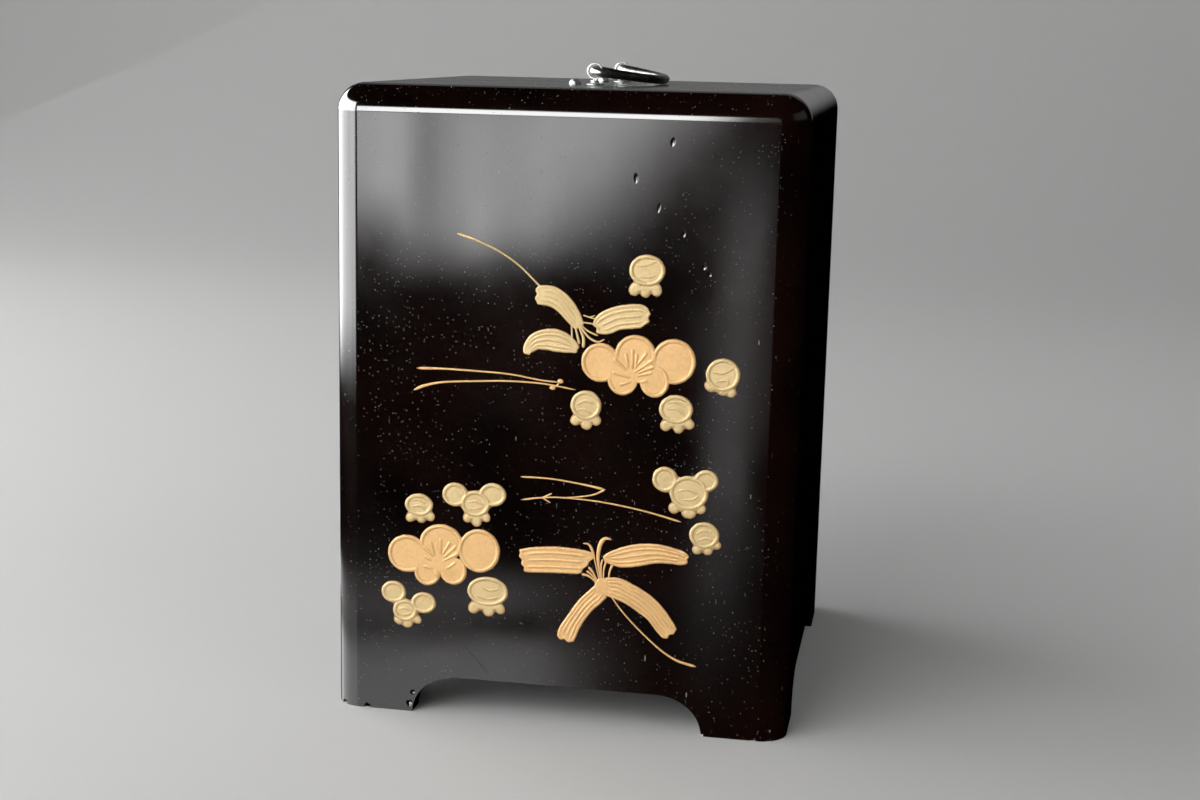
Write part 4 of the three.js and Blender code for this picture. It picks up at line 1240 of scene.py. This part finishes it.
around = node(tree, "Math", {"operation": "MULTIPLY"}, i0=bearing, i1=180 / math.pi).outputs[0]
up = axes.outputs["Z"]


def step_between(value, low, high):
    """0 before low and 1 after high, or the other way round where low is the larger."""
    return node(
        tree, "MapRange", {"interpolation_type": "SMOOTHSTEP"}, Value=value, i1=low, i2=high, i3=0.0, i4=1.0
    ).outputs["Result"]


def patch(strength, *masks):
    """One lit area of the ring: its strength through all of its masks."""
    lit = masks[0]
    for mask in masks[1:]:
        lit = node(tree, "Math", {"operation": "MULTIPLY"}, i0=lit, i1=mask).outputs[0]
    return node(tree, "Math", {"operation": "MULTIPLY"}, i0=lit, i1=float(strength)).outputs[0]


slanted = node(tree, "Math", {"operation": "MULTIPLY_ADD"}, i0=up, i1=-26.0, i2=around).outputs[0]
up_folds = node(tree, "Math", {"operation": "MULTIPLY"}, i0=up, i1=2.0).outputs[0]
folds_place = node(tree, "CombineXYZ", X=around, Y=up_folds).outputs[0]
folds = node(tree, "TexNoise", Vector=folds_place, Scale=0.8, Detail=2.0).outputs["Fac"]
fold_shade = node(tree, "MapRange", Value=folds, i1=0.3, i2=0.7, i3=0.6, i4=1.15).outputs["Result"]
strip_at = node(tree, "Math", {"operation": "MULTIPLY_ADD"}, i0=up, i1=-1.6, i2=around).outputs[0]
wedge = patch(1, step_between(up, 0.07, -0.05), step_between(around, -17, -18.3))
past_wedge = node(tree, "Math", {"operation": "SUBTRACT"}, i0=1.0, i1=wedge).outputs[0]
slit = patch(0.45, step_between(around, -15.7, -16.4), step_between(around, -17.5, -16.8))
past_slit = node(tree, "Math", {"operation": "SUBTRACT"}, i0=1.0, i1=slit).outputs[0]
lit_areas = [
    patch(8, step_between(slanted, -7, -14), step_between(around, -23, -21), step_between(up, -0.09, 0.01),
          step_between(up, 0.21, 0.17), fold_shade, past_wedge, past_slit),
    patch(22, step_between(around, -3.4, -6), step_between(around, -24, -21.5), step_between(up, 0.24, 0.28),
          step_between(up, 0.95, 0.75)),
    patch(11.5, step_between(around, -28, -32), step_between(around, -140, -112),
          step_between(up, -0.25, -0.11), step_between(up, 0.3, 0.22), fold_shade),
    patch(22, step_between(around, -28, -32), step_between(around, -140, -112), step_between(up, 0.2, 0.26),
          step_between(up, 1.5, 1.3)),
    patch(2, step_between(around, -8, -13), step_between(around, -140, -112), step_between(up, -0.59, -0.63)),
    patch(1, step_between(around, -8, -14), step_between(up, -0.5, -0.53), step_between(up, -0.58, -0.56)),
    patch(1.3, step_between(strip_at, -4.9, -3.9), step_between(strip_at, -2.3, -3.0),
          step_between(up, -0.75, -0.2), step_between(up, 0.15, 0.0)),
    patch(0.3, step_between(around, 35, 60), step_between(around, 120, 95), step_between(up, 0.4, 0.8),
          step_between(up, 1.7, 1.3)),
    patch(0.8, step_between(around, -28, -32), step_between(around, -140, -112),
          step_between(up, -0.5, -0.6)),
    patch(0.24, step_between(around, -142, -158), step_between(up, 0.2, 0.4)),
    patch(0.24, step_between(around, 142, 158), step_between(up, 0.2, 0.4)),
]
whole = lit_areas[0]
for area in lit_areas[1:]:
    whole = node(tree, "Math", {"operation": "ADD"}, i0=whole, i1=area).outputs[0]
tree.links.new(whole, shader.inputs["Emission Color"])
surround.data.materials.append(glow)
surround.visible_camera = False
surround.visible_diffuse = False
surround.visible_shadow = False
surround.visible_transmission = False
